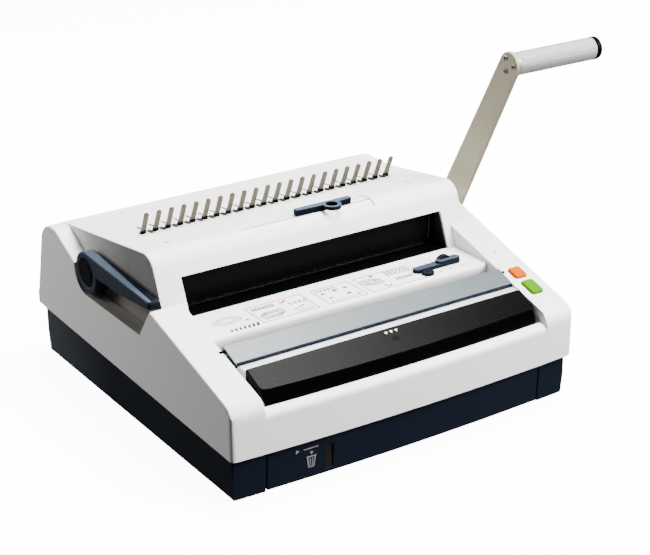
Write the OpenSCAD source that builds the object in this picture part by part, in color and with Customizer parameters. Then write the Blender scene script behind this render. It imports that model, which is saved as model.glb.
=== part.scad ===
// Desk binding machine for plastic combs and wire loops.
// x runs across the machine, y from front to back, z up, in millimetres.

/* [Casing] */
// Width of the white top cover
cover_w = 406; // [402:1:412]
// Wall thickness of the top cover
cover_wall = 3; // [2.5:0.1:3.5]
// Radius of the cover's upright corners
corner_r = 5; // [4:0.5:9]
// Foremost point of the cover's front face
front_y = -13.5; // [-18:0.5:-11]
// How far the front face bows forward at its middle
front_bow = 6; // [3:0.5:8]
// Height of the upright part of the rail fronts
front_wall_z = 84; // [80:0.5:86]
// Rounding above the rail fronts
front_r = 19.5; // [19:0.5:22]
// Foot of the back wall
back_foot_y = 398.4; // [390:0.2:410]
// Lean of the back wall, degrees
back_lean = 13; // [8:0.5:16]
// Rounding along the top of the back wall
back_r = 27; // [20:1:30]
// Height of the parting line over the front edge of the base
parting_z = 46; // [44:0.5:50]
// Rise of the parting line towards the back, degrees
parting_slope = 1.44; // [0.5:0.1:2]
// Height of the rail plane over the front edge of the base
rail_z = 100.6; // [99:0.2:103]
// Slope of the rails, degrees
rail_slope = 15.9; // [14:0.1:17]
// Height of the side shoulders
shoulder_z = 157; // [154:0.5:160]

/* [Hump] */
// Width of each side shoulder beside the raised middle
shoulder_w = 18; // [16:0.5:20]
// Height of the top plane over the finger row
top_z = 173.7; // [171:0.1:178]
// Fall of the top plane towards the back, degrees
top_slope = 8.7; // [7:0.1:10]
// Angle of the steep front face, degrees
face_angle = 66.7; // [62:0.1:72]
// Rounding of the ridge
ridge_r = 20; // [16:1:24]

/* [Front trough] */
// Width of each rail beside the trough
rail_w = 36; // [35:0.5:39]
// Height of the apron in front of the press bar
apron_z = 89; // [86:0.5:92]
// Rounding along the top of the apron
apron_r = 8; // [6:0.5:9]
// Height of the print ledge
ledge_z = 122; // [119:0.5:124]
// Front of the print ledge
ledge_y = 89; // [84:0.5:94]
// Rounding of the ledge's lip
lip_r = 5; // [3:0.5:7]
// Where the steep face meets the ledge
face_foot_y = 142.6; // [138:0.2:146]
// Height of the trough's floor
trough_floor_z = 98; // [94:0.5:101]
// Height of the press bar pocket's floor
pocket_floor_z = 72; // [68:0.5:75]

/* [Throat and die] */
// Wall left between each end of the throat and the rail
throat_side = 9.5; // [8:0.5:13]
// Top of the throat
throat_top_z = 160; // [155:0.5:162]
// Back wall of the throat
throat_back_y = 168; // [166:0.5:172]
// Thickness of the throat's liner
liner_t = 2; // [1.6:0.1:2.4]
// Height of the paper slot
slot_h = 4; // [3:0.1:5]
// Thickness of the die plate
die_t = 15.5; // [12:0.5:18]
// Thickness of the plate that guides and strips the punches
stripper_t = 12.5; // [10:0.5:14]
// Depth of the two plates
die_d = 17.8; // [16:0.2:18.4]
// Width of one punch
punch_w = 8; // [6:0.2:9]
// Thickness of one punch
punch_t = 3.2; // [2.5:0.1:4]
// Height of the punch bar
bar_h = 16; // [12:0.5:18]

/* [Comb row] */
// Width of the hump that the finger row leaves free
finger_margin = 55; // [50:1:60]
// Pitch of the fingers
pitch = 14.2875; // [13.5:0.0125:14.5]
// Place of the finger row on the top plane
finger_y = 249; // [245:0.5:253]
// Width of one finger
finger_w = 4; // [3:0.1:5]
// Thickness of one finger
finger_t = 2.4; // [2:0.1:3]
// Length of one finger above the top plane
finger_len = 27.4; // [22:0.2:32]
// Forward lean of the fingers, degrees
finger_lean = 23.5; // [15:0.5:28]
// Thickness of the plate that carries the fingers
finger_plate_t = 2.5; // [2:0.1:3]
// Thickness of one hook
hook_t = 1.6; // [1.2:0.1:2]
// Height of the hooks above the top plane
hook_rise = 2.2; // [2:0.1:4]
// Thickness of the hook carriage
carriage_t = 3; // [2.5:0.1:3.5]

/* [Comb lever] */
// Middle of the lever's hub
lever_y = 277; // [274:0.5:279]
// Height of the lever's hub
lever_z = 132.5; // [131:0.5:134]
// Radius of the hub
hub_r = 22.5; // [19:0.5:23]
// Reach of the lever from its hub
lever_reach = 135; // [110:1:138]
// Thickness of the lever
lever_t = 13; // [10:0.5:14]
// Diameter of the lever shaft
lever_shaft_d = 12; // [10:0.5:13]
// Radius of the cranks that drive the hooks
crank_e = 18; // [16:0.5:19]
// Turn of the lever, degrees
lever_turn = 80; // [60:1:84]

/* [Punch handle] */
// Place of the punch shaft
shaft_y = 231.5; // [229:0.5:234]
// Height of the punch shaft
shaft_z = 95; // [92:0.5:98]
// Diameter of the punch shaft
shaft_d = 16; // [12:0.5:18]
// Distance from the shaft to the grip
arm_len = 256.5; // [245:0.5:275]
// Lean of the raised arm, degrees
arm_lean = 27.3; // [22:0.1:32]
// Thickness of the arm
arm_t = 5; // [4:0.5:6]
// Half width of the arm at the shaft
arm_root_r = 18; // [16:0.5:20]
// Half width of the arm at the grip
arm_end_r = 14; // [13:0.5:16]
// Diameter of the grip
grip_d = 24; // [22:0.5:26]
// Length of the grip
grip_len = 106; // [90:1:118]
// Length of the grip's end cap
cap_len = 7; // [4:0.5:8]
// Number of ribs along the grip
grip_ribs = 36; // [24:1:48]
// Throw of the eccentrics that drive the punches
cam_e = 12; // [9:0.5:12]
// Radius of the eccentrics
cam_r = 23; // [22.5:0.1:23.2]
// Turn of the handle, degrees
handle_turn = 60; // [45:1:60]

/* [Wire closer] */
// Back edge of the press bar
press_back_y = 31.5; // [29:0.5:33]
// Height of the press bar's back edge
press_back_z = 115; // [112:0.5:117]
// Front edge of the press bar's top, at its middle
press_front_y = 2; // [0:0.5:5]
// Foremost point of the press bar
press_low_y = -2.5; // [-4:0.5:-1]
// Height of the press bar's front edge
press_front_z = 102; // [99:0.5:104]
// Wall thickness of the press bar
press_wall = 3; // [2:0.1:4]
// Travel of the press bar
press_travel = 6; // [4:0.5:7]
// Height of the anvil strip
anvil_z = 112.6; // [110:0.2:113]
// Front edge of the closer's flap
flap_front_y = 44.5; // [43.5:0.1:47]
// Back edge of the closer's flap
flap_back_y = 68; // [64:0.5:72]
// Height of the flap's front edge
flap_front_z = 115; // [114:0.2:116.5]
// Slope of the flap, degrees
flap_slope = 20.5; // [16:0.5:22]
// Thickness of the flap
flap_t = 3; // [2:0.1:3.2]

/* [Buttons and sliders] */
// Width of the buttons
button_w = 15; // [13:0.2:16]
// Middle of the two buttons, from the cover's side
button_edge = 20; // [18:0.2:22]
// Middle of the comb button
comb_button_y = 59.6; // [58.6:0.2:64]
// Length of the comb button
comb_button_l = 16.5; // [14:0.1:18]
// Middle of the wire button
wire_button_y = 35.4; // [32:0.2:36.4]
// Length of the wire button
wire_button_l = 21.5; // [16:0.1:23]
// How far the buttons stand out of the rail
button_rise = 2.8; // [2.4:0.1:4]
// Travel of the buttons
button_travel = 2.2; // [1.5:0.1:2.4]
// Middle of the stop slider across the machine
stop_x = 23; // [0:1:30]
// Length of the stop slider
stop_l = 68; // [50:1:76]
// Half length of the stop slider's track
track_half = 77.7; // [70:0.1:90]
// Middle of the size slide, from the right rail
size_inset = 50; // [45:1:56]
// Length of the size slide
size_l = 58; // [50:1:62]
// Travel of the size slide to each side
size_travel = 11; // [6:0.5:12]

/* [Base and drawer] */
// How far each side of the base's foot stands in from the cover
base_inset = 5.3; // [4:0.1:8]
// How far each side of the base leans out up to the parting line
base_flare = 2.4; // [1:0.1:2.6]
// Foremost point of the base at its foot
base_front_y = -5.9; // [-8:0.1:-4]
// Back of the base at its foot
base_back_y = 385; // [378:0.5:388]
// Wall thickness of the base
base_wall = 3; // [2.5:0.1:4]
// Height of the feet below the base
foot_h = 1.5; // [1:0.1:3]
// Diameter of the feet
foot_d = 22; // [16:1:26]
// Width of the base's front beside each end of the drawer
drawer_side = 35; // [34:0.5:40]
// Depth of the drawer
drawer_d = 250; // [200:1:250]
// Height of the drawer's tray walls
drawer_h = 33; // [24:0.5:34]
// Middle of the drawer's window, from the drawer's left end
window_inset = 68.3; // [50:0.1:90]
// Width of the drawer's window
window_w = 8.4; // [6:0.2:14]
// Height of the drawer's window
window_h = 26; // [16:0.5:28]

/* [Hidden] */
$fn = 48;
arc_steps = 10;
bow_fn = 1440;
// Running gap of a shaft in its bush, on the radius
run_gap = 0.05;
// Gap between sliding faces
slide_gap = 0.3;
// Overshoot of cuts
over = 1;
far = 600;

white = [0.92, 0.92, 0.9];
navy = [0.09, 0.12, 0.19];
blue = [0.16, 0.22, 0.34];
black = [0.05, 0.05, 0.06];
steel = [0.66, 0.64, 0.58];
nickel = [0.7, 0.68, 0.62];
grey_metal = [0.5, 0.5, 0.52];

cover_hx = cover_w / 2;
bow_r = cover_hx * cover_hx / (2 * front_bow) + front_bow / 2;
bow_axis_y = front_y + bow_r;
hump_hx = cover_hx - shoulder_w;
trough_hx = cover_hx - rail_w;
throat_hx = trough_hx - throat_side;
finger_n = floor((2 * hump_hx - finger_margin) / pitch);
base_hx = cover_hx - base_inset;
drawer_hx = base_hx - drawer_side;
back_foot_z = parting_at(back_foot_y);

// Side frames stand inside the hump's walls
frame_t = 3;
frame_gap = 7;
frame_out = hump_hx - cover_wall - frame_gap;
frame_in = frame_out - frame_t;
frame_front_y = throat_back_y - 4;
frame_back_y = 325;

// Die stack behind the throat
liner_floor_z = ledge_z - 0.3;
die_y = throat_back_y + liner_t + 0.2;
die_top = liner_floor_z - 0.2;
stripper_z = die_top + slot_h;
punch_y = die_y + die_d * 0.6;
punch_n = finger_n - 1;
punch_fit = 0.15;
post_d = 8;
post_x = throat_hx;
cam_x = frame_in - 10;
cam_t = 4;
stroke = 2 * cam_e * sin(handle_turn / 2);
punch_lift = 1;
bar_z = stripper_z + stripper_t + stroke + 6;
bar_front_y = punch_y - 8.4;
yoke_y = die_y + die_d + 2;
cam_dir = [-cos(handle_turn / 2), sin(handle_turn / 2)];
cam_pos = [shaft_y, shaft_z] + cam_e * cam_dir;

// Comb opener, in the top plane's own frame
plate_n = -cover_wall;
carriage_n = plate_n - finger_plate_t - 2;
carriage_hx = frame_in - 3;
carriage_front = -13;
carriage_back = 47;
guide_front = -22;
guide_back = 74;
guide_w = 9;
guide_t = 3.5;
guide_lip = 2.8;
ear_w = 5.8;
ear_foot = 2.4;
ear_gap = 0.5;
hook_slot_w = hook_t + 1;
hook_l = 5;
hook_front = -4;
hook_travel = 2 * crank_e * sin(lever_turn / 2);
slot_front = hook_front - 2;
slot_back = hook_front + hook_l + hook_travel + 3;
lever_local = to_top([lever_y, lever_z]);
crank_pin_d = 6;
crank_gap = 0.7;
crank_x = frame_in - 32;
drive_t = 5;
crank_t = 5;
pin_rest = lever_local + crank_e * [-sin(lever_turn / 2), cos(lever_turn / 2)];
recess_gap = 2;
recess_floor_z = lever_z - hub_r - recess_gap;
recess_y = lever_y - lever_reach - 1;
recess_slant = 22.5;
recess_back = 67.5;
recess_r = 12;
lever_x = -cover_hx + 0.6;
lever_in = lever_x + lever_t;

// Handle
arm_gap = 1.5;
arm_x = cover_hx + arm_gap;
grip_x = arm_x + arm_t;
grip_end_x = grip_x + grip_len + cap_len;
grip_pos = [shaft_y, shaft_z] + arm_len * [-sin(arm_lean), cos(arm_lean)];
stud_d = 10;
nut_t = 6;
spigot_d = shaft_d - 4;

// Wire closer
press_gap = 0.9;
press_hx = trough_hx - 4;
pocket_front_y = press_low_y - press_gap;
pocket_back_y = press_back_y + press_gap;
anvil_back_y = flap_front_y + 3.5;
flap_hx = trough_hx - 2;
hinge_d = 3;
hinge_lug_r = 3.6;
hinge_l = 16;
hinge_pos = [flap_back_y - 2, flap_at(flap_back_y - 2) - hinge_lug_r];

// Buttons
button_x = cover_hx - button_edge;
button_fit = 0.5;
button_depth = 8;
stem_d = 5;
bracket_t = 3;
bracket_n = -cover_wall - button_depth - button_travel - 6;

// Base
base_z = foot_h;
floor_z = base_z + base_wall;
tunnel_gap = 1.4;
tunnel_t = 3;
tray_wall = 2;
tunnel_in = drawer_hx + tunnel_gap;
drawer_back_y = drawer_d;
panel_back_y = 5.5;
boss_d = 12;
boss_x = cover_hx - 15;
boss_ys = [34, 352];
boss_rise = 22;
screw_d = 4;
screw_head_d = 8;
screw_head_h = 3;

// Small fixed parts
shoulder_r = 30;
front_room = 100;
flange_w = 8;
rib_t = 4;
finger_gap = 1.5;
finger_cut = 4.6;
track_w = 2.6;
track_mid = 2.3;
track_y = -2.3;
stop_d = 7;
stop_h = 6.5;
stop_stem = 24;
stop_sag = 0.8;
ring_d = 20;
ring_bore = 12;
ring_h = 4;
ring_x = 7;
ring_y = -6.5;
clip_t = 2;
size_x = trough_hx - size_inset;
size_y = 111;
size_d = 9;
size_h = 4;
size_grip_h = 6.5;
size_stem = 20;
size_slot = size_stem / 2 + size_travel + slide_gap;
size_tab_d = 13;
size_bump_r = 9.5;
size_bump_d = 6;
size_bump_x = 12;
size_tab_x = 18;
size_tab_h = 2.8;
button_r = 3.5;
button_flange = 2;
press_spring_d = 12;
press_spring_step = (press_hx - 43) / 3;
press_seat_z = pocket_floor_z + 20;
flap_rest_z = flap_front_z - flap_t / cos(flap_slope) - 0.4;
yoke_wall = 6;
bush_t = 4;
tie_d = 10;
frame_drop = 4.2;
guide_start_y = 225;
flange_l = 18;
frame_screw_ys = [190, 300];
screw_bite = 2.4;
screw_seat = 8;
screw_grip = 14;
foot_x = cover_hx - 53;
foot_ys = [45, 345];
foot_sink = 1.2;
tunnel_z = 42;
plate_hx = (finger_n - 1) / 2 * pitch + 8;
cap_r = 15;
cap_t = 3;
grip_flange_t = 3;
rib_depth = 0.5;
cap_edge = 2.5;
grip_screw_d = 3;
grip_screw_r = 8;
grip_screw_head = 1.2;
panel_front_y = 2.5;
window_x = window_inset - drawer_hx;
window_t = 2.5;
window_z = base_z + 5.5;
window_y = bow_at(base_front_y, window_x) + 0.2;

// The origin lies under the middle of the whole machine
origin_x = (grip_end_x - cover_hx) / 2;
origin_y = (front_y + back_foot_y) / 2;

// Planes of the casing
function parting_at(y) = parting_z + y * tan(parting_slope);
function rail_at(y) = rail_z + y * tan(rail_slope);
function rail_y_at(z) = (z - rail_z) / tan(rail_slope);
function top_at(y) = top_z - (y - finger_y) * tan(top_slope);
function face_y_at(z) = face_foot_y + (z - ledge_z) / tan(face_angle);
function back_y_at(z) = back_foot_y - (z - back_foot_z) * tan(back_lean);
function bow_at(y0, x) = bow_axis_y - sqrt(pow(bow_axis_y - y0, 2) - x * x);
function press_at(y) = press_front_z + (y - press_front_y) * (press_back_z - press_front_z)
    / (press_back_y - press_front_y);
function flap_at(y) = flap_front_z + (y - flap_front_y) * tan(flap_slope);

// Where the top plane meets the steep face and the back wall
ridge_y = (top_z + finger_y * tan(top_slope) - ledge_z + face_foot_y * tan(face_angle))
    / (tan(face_angle) + tan(top_slope));
crest_y = (back_foot_y - (top_z + finger_y * tan(top_slope) - back_foot_z) * tan(back_lean))
    / (1 - tan(top_slope) * tan(back_lean));

// The stop slider lies on the crest of the ridge
crest = corner_mid([crest_y, top_at(crest_y)], [ridge_y, top_at(ridge_y)], [face_foot_y, ledge_z], ridge_r)
    + [0, ridge_r];

function unit(v) = v / norm(v);
function half_turn(a) = a > 180 ? a - 360 : a < -180 ? a + 360 : a;
function arc(mid, r, a0, a1) = [for (i = [0 : arc_steps])
    let (a = a0 + (a1 - a0) * i / arc_steps) mid + r * [cos(a), sin(a)]];

// Arc that rounds the corner b between a and c, and its middle
function corner_mid(a, b, c, r) = let (u = unit(a - b), v = unit(c - b))
    b + unit(u + v) * r / sin(acos(u * v) / 2);
function corner_arc(a, b, c, r) =
    let (u = unit(a - b), v = unit(c - b), half = acos(u * v) / 2, mid = corner_mid(a, b, c, r),
         from = b + u * r / tan(half) - mid,
         to = b + v * r / tan(half) - mid,
         a0 = atan2(from.y, from.x))
    arc(mid, r, a0, a0 + half_turn(atan2(to.y, to.x) - a0));

// Outline through corners given as [y, z, radius]
function rounded(p) = [for (i = [0 : len(p) - 1])
    let (n = len(p), a = p[(i + n - 1) % n], b = p[i], c = p[(i + 1) % n])
    each b[2] == 0 ? [[b.x, b.y]]
        : corner_arc([a.x, a.y], [b.x, b.y], [c.x, c.y], b[2])];

// Counterclockwise outline moved inwards by t
function inset(p, t) = [for (i = [0 : len(p) - 1])
    let (n = len(p), d0 = unit(p[i] - p[(i + n - 1) % n]), d1 = unit(p[(i + 1) % n] - p[i]),
         n0 = [-d0.y, d0.x], n1 = [-d1.y, d1.x])
    p[i] + t * (n0 + n1) / (1 + n0 * n1)];

// A point of the machine in the top plane's frame, and turned back
function to_top(p) = let (d = p - [finger_y, top_z])
    [d.x * cos(top_slope) - d.y * sin(top_slope), d.x * sin(top_slope) + d.y * cos(top_slope)];

module placed() translate([-origin_x, -origin_y, 0]) children();
module along_x(x0, x1) translate([x0, 0, 0]) rotate([90, 0, 90]) linear_extrude(x1 - x0) children();
module slab(lo, hi) translate(lo) cube(hi - lo);
module rod(p, d, x0, x1) translate([x0, p.x, p.y]) rotate([0, 90, 0]) cylinder(d = d, h = x1 - x0);
module tube(d, bore, h) difference() {
    cylinder(d = d, h = h);
    translate([0, 0, -over]) cylinder(d = bore, h = h + 2 * over);
}
module both_sides() {
    children();
    mirror([1, 0, 0]) children();
}
module on_top() translate([0, finger_y, top_z]) rotate([-top_slope, 0, 0]) children();
module on_crest() translate([0, crest.x, crest.y]) children();
module on_rail(y) translate([button_x, y, rail_at(y)]) rotate([rail_slope, 0, 0]) children();
module in_row(n) for (i = [0 : n - 1]) translate([(i - (n - 1) / 2) * pitch, 0, 0]) children();
module at_fingers() in_row(finger_n) children();
module at_hooks() in_row(punch_n) children();

// Rounded bar lying flat, with its middle at the origin
module pad(w, l, r, h) linear_extrude(h) {
    square([w - 2 * r, l], center = true);
    square([w, l - 2 * r], center = true);
    for (sx = [-1, 1], sy = [-1, 1]) translate([sx * (w / 2 - r), sy * (l / 2 - r)]) circle(r);
}

// Everything behind a profile in y and z that is swept along the bow of the front
module bowed(profile) translate([0, bow_axis_y, 0]) rotate([0, 0, 264])
    rotate_extrude(angle = 12, $fn = bow_fn) polygon([for (p = profile) [bow_axis_y - p.x, p.y]]);

// Everything behind a front face that is upright to z and then rounds back
module behind_front(y0, lean, z, r, last) bowed(concat(
    [[y0 + lean, 0], [y0 + far, 0], [y0 + far, far], [y0 + r * (1 + cos(last)), far]],
    arc([y0 + r, z], r, last, 180)));

// Upright prism with round corners, open to the front between them
module corner_prism(hx, y0, y1, r, h) {
    inner = hx - r;
    front = bow_at(y0, inner) + r;
    linear_extrude(h) {
        translate([-inner, y0 - r]) square([2 * inner, y1 - y0 + r]);
        translate([-hx, front]) square([2 * hx, y1 - r - front]);
        for (s = [-1, 1], y = [front, y1 - r]) translate([s * inner, y]) circle(r);
    }
}

// Outlines of the top cover, counterclockwise in y and z, taken down to the table
function right_outline() = rounded([[front_y - over, 0, 0], [back_y_at(0), 0, 0],
    [back_y_at(shoulder_z), shoulder_z, back_r], [rail_y_at(shoulder_z), shoulder_z, shoulder_r],
    [front_y - over, rail_at(front_y - over), 0]]);
function left_outline() = concat(
    rounded([[front_y - over, 0, 0], [back_y_at(0), 0, 0],
        [back_y_at(shoulder_z), shoulder_z, back_r], [lever_y + recess_back, shoulder_z, recess_r],
        [lever_y + hub_r + recess_gap + 1.5, lever_z + 4, 0]]),
    arc([lever_y, lever_z], hub_r + recess_gap, 8, -90),
    [[recess_y + recess_slant, recess_floor_z], [recess_y, rail_at(recess_y)],
     [front_y - over, rail_at(front_y - over)]]);
function hump_outline() = rounded([[face_y_at(0), 0, 0], [back_y_at(0), 0, 0],
    [crest_y, top_at(crest_y), back_r], [ridge_y, top_at(ridge_y), ridge_r]]);
function front_outline() = let (back = face_y_at(ledge_z) + 2.9, step_y = press_back_y / 2)
    rounded([[front_y - over, 0, 0], [back, 0, 0],
        [back, ledge_z, 0], [ledge_y, ledge_z, lip_r], [ledge_y, trough_floor_z, 0],
        [step_y, trough_floor_z, 0], [step_y, apron_z, 0], [front_y - over, apron_z, 0]]);

// Room for the press bar, with its walls moved outwards by t
module press_pocket(t) intersection() {
    slab([-trough_hx - over, -far, pocket_floor_z - t], [trough_hx + over, pocket_back_y + t, far]);
    bowed([[pocket_front_y - t, 0], [far, 0], [far, far], [pocket_front_y - t, far]]);
}

// Mass of the top cover with every face moved inwards by t
module cover_mass(t) intersection() {
    union() {
        intersection() {
            union() {
                along_x(-cover_hx + t, -trough_hx - t) polygon(inset(left_outline(), t));
                along_x(trough_hx + t, cover_hx - t) polygon(inset(right_outline(), t));
                along_x(-hump_hx + t, hump_hx - t) polygon(inset(hump_outline(), t));
            }
            behind_front(front_y + t, 0, front_wall_z, front_r - t, 90 + rail_slope);
            corner_prism(cover_hx - t, front_y + t, back_foot_y + over, corner_r - t, far);
        }
        difference() {
            intersection() {
                along_x(-trough_hx, trough_hx) polygon(inset(front_outline(), t));
                behind_front(front_y + t, 0, apron_z - apron_r, apron_r - t, 90);
            }
            press_pocket(t);
        }
    }
    along_x(-far, far) polygon([[-far, parting_at(-far) + t], [far, parting_at(far) + t], [far, far],
        [-far, far]]);
}

module at_bosses() for (s = [-1, 1], y = boss_ys) {
    $boss_z = parting_at(y);
    $side = s;
    translate([s * boss_x, y, 0]) children();
}
module hook_slots(n0, n1) at_hooks()
    slab([-hook_slot_w / 2, slot_front, n0], [hook_slot_w / 2, slot_back, n1]);
module punch_holes(z0, z1) at_hooks()
    slab([-punch_w / 2 - punch_fit, punch_y - punch_t / 2 - punch_fit, z0],
        [punch_w / 2 + punch_fit, punch_y + punch_t / 2 + punch_fit, z1]);

// White top cover with its slots, button holes and bosses
module cover_shell() {
    difference() {
        cover_mass(0);
        cover_mass(cover_wall);
        along_x(-cover_hx + flange_w, cover_hx - flange_w) polygon([[front_y + 12, 0], [back_foot_y - 18, 0],
            [back_foot_y - 18, parting_at(back_foot_y - 18) + cover_wall + over],
            [front_y + 12, parting_at(front_y + 12) + cover_wall + over]]);
    }
    at_bosses() {
        translate([0, 0, $boss_z]) cylinder(d = boss_d, h = boss_rise);
        scale([$side, 1, 1]) slab([0, -rib_t / 2, $boss_z + cover_wall],
            [cover_hx - boss_x - cover_wall / 2, rib_t / 2, $boss_z + boss_rise]);
    }
}
module top_cover() color(white) placed() difference() {
    cover_shell();
    slab([-throat_hx, face_foot_y - 6, ledge_z],
        [throat_hx, face_y_at(throat_top_z) + 2 * cover_wall, throat_top_z]);
    on_top() {
        at_fingers() slab([-finger_w / 2 - finger_gap, -finger_cut, -cover_wall - over],
            [finger_w / 2 + finger_gap, finger_cut, over]);
        hook_slots(-cover_wall - over, over);
    }
    on_crest() slab([track_mid - track_half, track_y - track_w / 2, -2 * cover_wall],
        [track_mid + track_half, track_y + track_w / 2, over]);
    translate([size_x, size_y, 0]) slab([-size_slot, -track_w / 2, ledge_z - cover_wall - over],
        [size_slot, track_w / 2, ledge_z + over]);
    for (b = [[comb_button_y, comb_button_l], [wire_button_y, wire_button_l]])
        on_rail(b[0]) translate([0, 0, -cover_wall - over])
            pad(button_w + 2 * button_fit, b[1] + 2 * button_fit, button_r + button_fit,
                cover_wall + 4 * over);
    rod([shaft_y, shaft_z], shaft_d + 6, cover_hx - cover_wall - over, cover_hx + over);
    rod([lever_y, lever_z], lever_shaft_d + 4, -hump_hx - over, -hump_hx + cover_wall + over);
    both_sides() rod(hinge_pos, hinge_d, trough_hx - over, trough_hx + cover_wall + over);
    at_bosses() translate([0, 0, $boss_z - over]) cylinder(d = screw_d, h = screw_grip + 1.5 + over);
}

// Mass of the base with its walls moved inwards by t, from z0 up to the parting line or past it
module base_mass(t, z0, past) {
    flare_z = 100;
    flare = base_flare * flare_z / parting_z;
    intersection() {
        translate([0, far, 0]) rotate([90, 0, 0]) linear_extrude(2 * far)
            polygon([[-base_hx + t, z0], [base_hx - t, z0],
                [base_hx + flare - t, flare_z], [-base_hx - flare + t, flare_z]]);
        along_x(-far, far) polygon([[-front_room, z0], [base_back_y - t, z0],
            [base_back_y + base_flare - t, parting_at(base_back_y) + past],
            [-front_room, parting_at(-front_room) + past]]);
        behind_front(base_front_y - flare + t, flare, flare_z, over, 90);
        corner_prism(base_hx + base_flare - t, base_front_y - base_flare + t, base_back_y + base_flare - t,
            corner_r - t, far);
    }
}
module drawer_room() slab([-tunnel_in, -front_room, -over], [tunnel_in, panel_back_y + slide_gap, far]);
module at_feet() for (s = [-1, 1], y = foot_ys) translate([s * foot_x, y, 0]) children();
module at_frame_screws() for (y = frame_screw_ys)
    translate([frame_out + flange_l / 2, y, floor_z]) children();

module base_tray() color(navy) placed() difference() {
    union() {
        difference() {
            base_mass(0, base_z, 0);
            base_mass(base_wall, floor_z, 50);
            drawer_room();
        }
        both_sides() slab([tunnel_in, 0, floor_z - over],
            [tunnel_in + tunnel_t, drawer_back_y + over + tunnel_t, tunnel_z]);
        slab([-tunnel_in - over, drawer_back_y + over, floor_z - over],
            [tunnel_in + over, drawer_back_y + over + tunnel_t, floor_z + drawer_h / 2]);
        at_bosses() translate([0, 0, floor_z - over]) cylinder(d = boss_d, h = $boss_z - floor_z + over);
    }
    at_feet() translate([0, 0, -over]) cylinder(d = foot_d, h = base_z + foot_sink + over);
    at_bosses() {
        translate([0, 0, -over]) cylinder(d = screw_head_d + 1, h = $boss_z - screw_seat + over);
        translate([0, 0, -over]) cylinder(d = screw_d + 0.4, h = $boss_z + 2 * over);
    }
    both_sides() at_frame_screws() translate([0, 0, -screw_bite])
        cylinder(d = screw_d, h = screw_bite + over);
}
module rubber_feet() color(black) placed() at_feet() cylinder(d = foot_d, h = base_z + foot_sink);
module base_screws() color(grey_metal) placed() at_bosses() {
    translate([0, 0, $boss_z - screw_seat - screw_head_h]) cylinder(d = screw_head_d, h = screw_head_h);
    translate([0, 0, $boss_z - screw_seat - over]) cylinder(d = screw_d, h = screw_seat + screw_grip + over);
}

// Black lining of the paper throat
module throat_liner() color(black) placed() {
    clear = cover_wall / sin(face_angle) + 0.15;
    difference() {
        along_x(-throat_hx - liner_t, throat_hx + liner_t) polygon([
            [face_y_at(liner_floor_z - liner_t) + clear, liner_floor_z - liner_t],
            [throat_back_y + liner_t, liner_floor_z - liner_t],
            [throat_back_y + liner_t, throat_top_z + liner_t],
            [face_y_at(throat_top_z + liner_t) + clear, throat_top_z + liner_t]]);
        slab([-throat_hx, 0, liner_floor_z], [throat_hx, throat_back_y, throat_top_z]);
        slab([-throat_hx, 0, liner_floor_z],
            [throat_hx, throat_back_y + liner_t + over, liner_floor_z + slot_h]);
    }
}

// Steel side frame on the right, standing on the floor of the base
module side_frame() difference() {
    union() {
        along_x(frame_in, frame_out) polygon([[frame_front_y, floor_z], [frame_back_y, floor_z],
            [frame_back_y, top_at(frame_back_y) - frame_drop],
            [guide_start_y, top_at(guide_start_y) - frame_drop],
            [frame_front_y, stripper_z + stripper_t + 6]]);
        slab([frame_out - over, frame_front_y, floor_z],
            [frame_out + flange_l, frame_back_y, floor_z + frame_t]);
    }
    rod([shaft_y, shaft_z], shaft_d + 2 * bush_t, frame_in - over, frame_out + over);
    rod([lever_y, lever_z], lever_shaft_d + 2 * bush_t, frame_in - over, frame_out + over);
    at_frame_screws() translate([0, 0, -over]) cylinder(d = screw_d, h = frame_t + 2 * over);
}
module right_frame() color(grey_metal) placed() side_frame();
module left_frame() color(grey_metal) placed() mirror([1, 0, 0]) side_frame();
module tie_bars() color(grey_metal) placed() {
    rod([die_y + tie_d / 2, die_top - die_t - 1.5 * tie_d], tie_d, -frame_in, frame_in);
    rod([frame_back_y - 2 * tie_d, shaft_z - tie_d / 2], tie_d, -frame_in, frame_in);
}
module frame_screws() color(grey_metal) placed() both_sides() at_frame_screws() {
    translate([0, 0, -screw_bite]) cylinder(d = screw_d, h = screw_bite + frame_t + over);
    translate([0, 0, frame_t]) cylinder(d = screw_head_d, h = screw_head_h);
}

// Die, stripper and the paper gap between them
module die_plate() color(grey_metal) placed() difference() {
    slab([-frame_in, die_y, die_top - die_t], [frame_in, die_y + die_d, die_top]);
    punch_holes(die_top - die_t - over, die_top + over);
}
module stripper_plate() color(grey_metal) placed() difference() {
    slab([-frame_in, die_y, stripper_z], [frame_in, die_y + die_d, stripper_z + stripper_t]);
    punch_holes(stripper_z - over, stripper_z + stripper_t + over);
}
module die_spacers() color(grey_metal) placed() both_sides()
    slab([throat_hx + 4, die_y, die_top], [frame_in, die_y + die_d, stripper_z]);
module at_posts() for (s = [-1, 1]) translate([s * post_x, punch_y, stripper_z + stripper_t]) children();
module guide_posts() color(steel) placed() at_posts()
    cylinder(d = post_d, h = bar_z + bar_h - stripper_z - stripper_t + 3);
module punch_springs() color(steel) placed() at_posts()
    tube(post_d + 5, post_d + 2, bar_z - stripper_z - stripper_t);

// Flanged bushes in the side frames
module bush(p, d) difference() {
    union() {
        rod(p, d + 2 * bush_t, frame_in, frame_out);
        rod(p, d + 2 * bush_t + 6, frame_out, frame_out + 2.5);
    }
    rod(p, d + 2 * run_gap, frame_in - over, frame_out + 2.5 + over);
}
module shaft_bushes() color([0.72, 0.55, 0.3]) placed() both_sides() bush([shaft_y, shaft_z], shaft_d);
module lever_bushes() color([0.72, 0.55, 0.3]) placed() both_sides() bush([lever_y, lever_z], lever_shaft_d);

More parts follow.
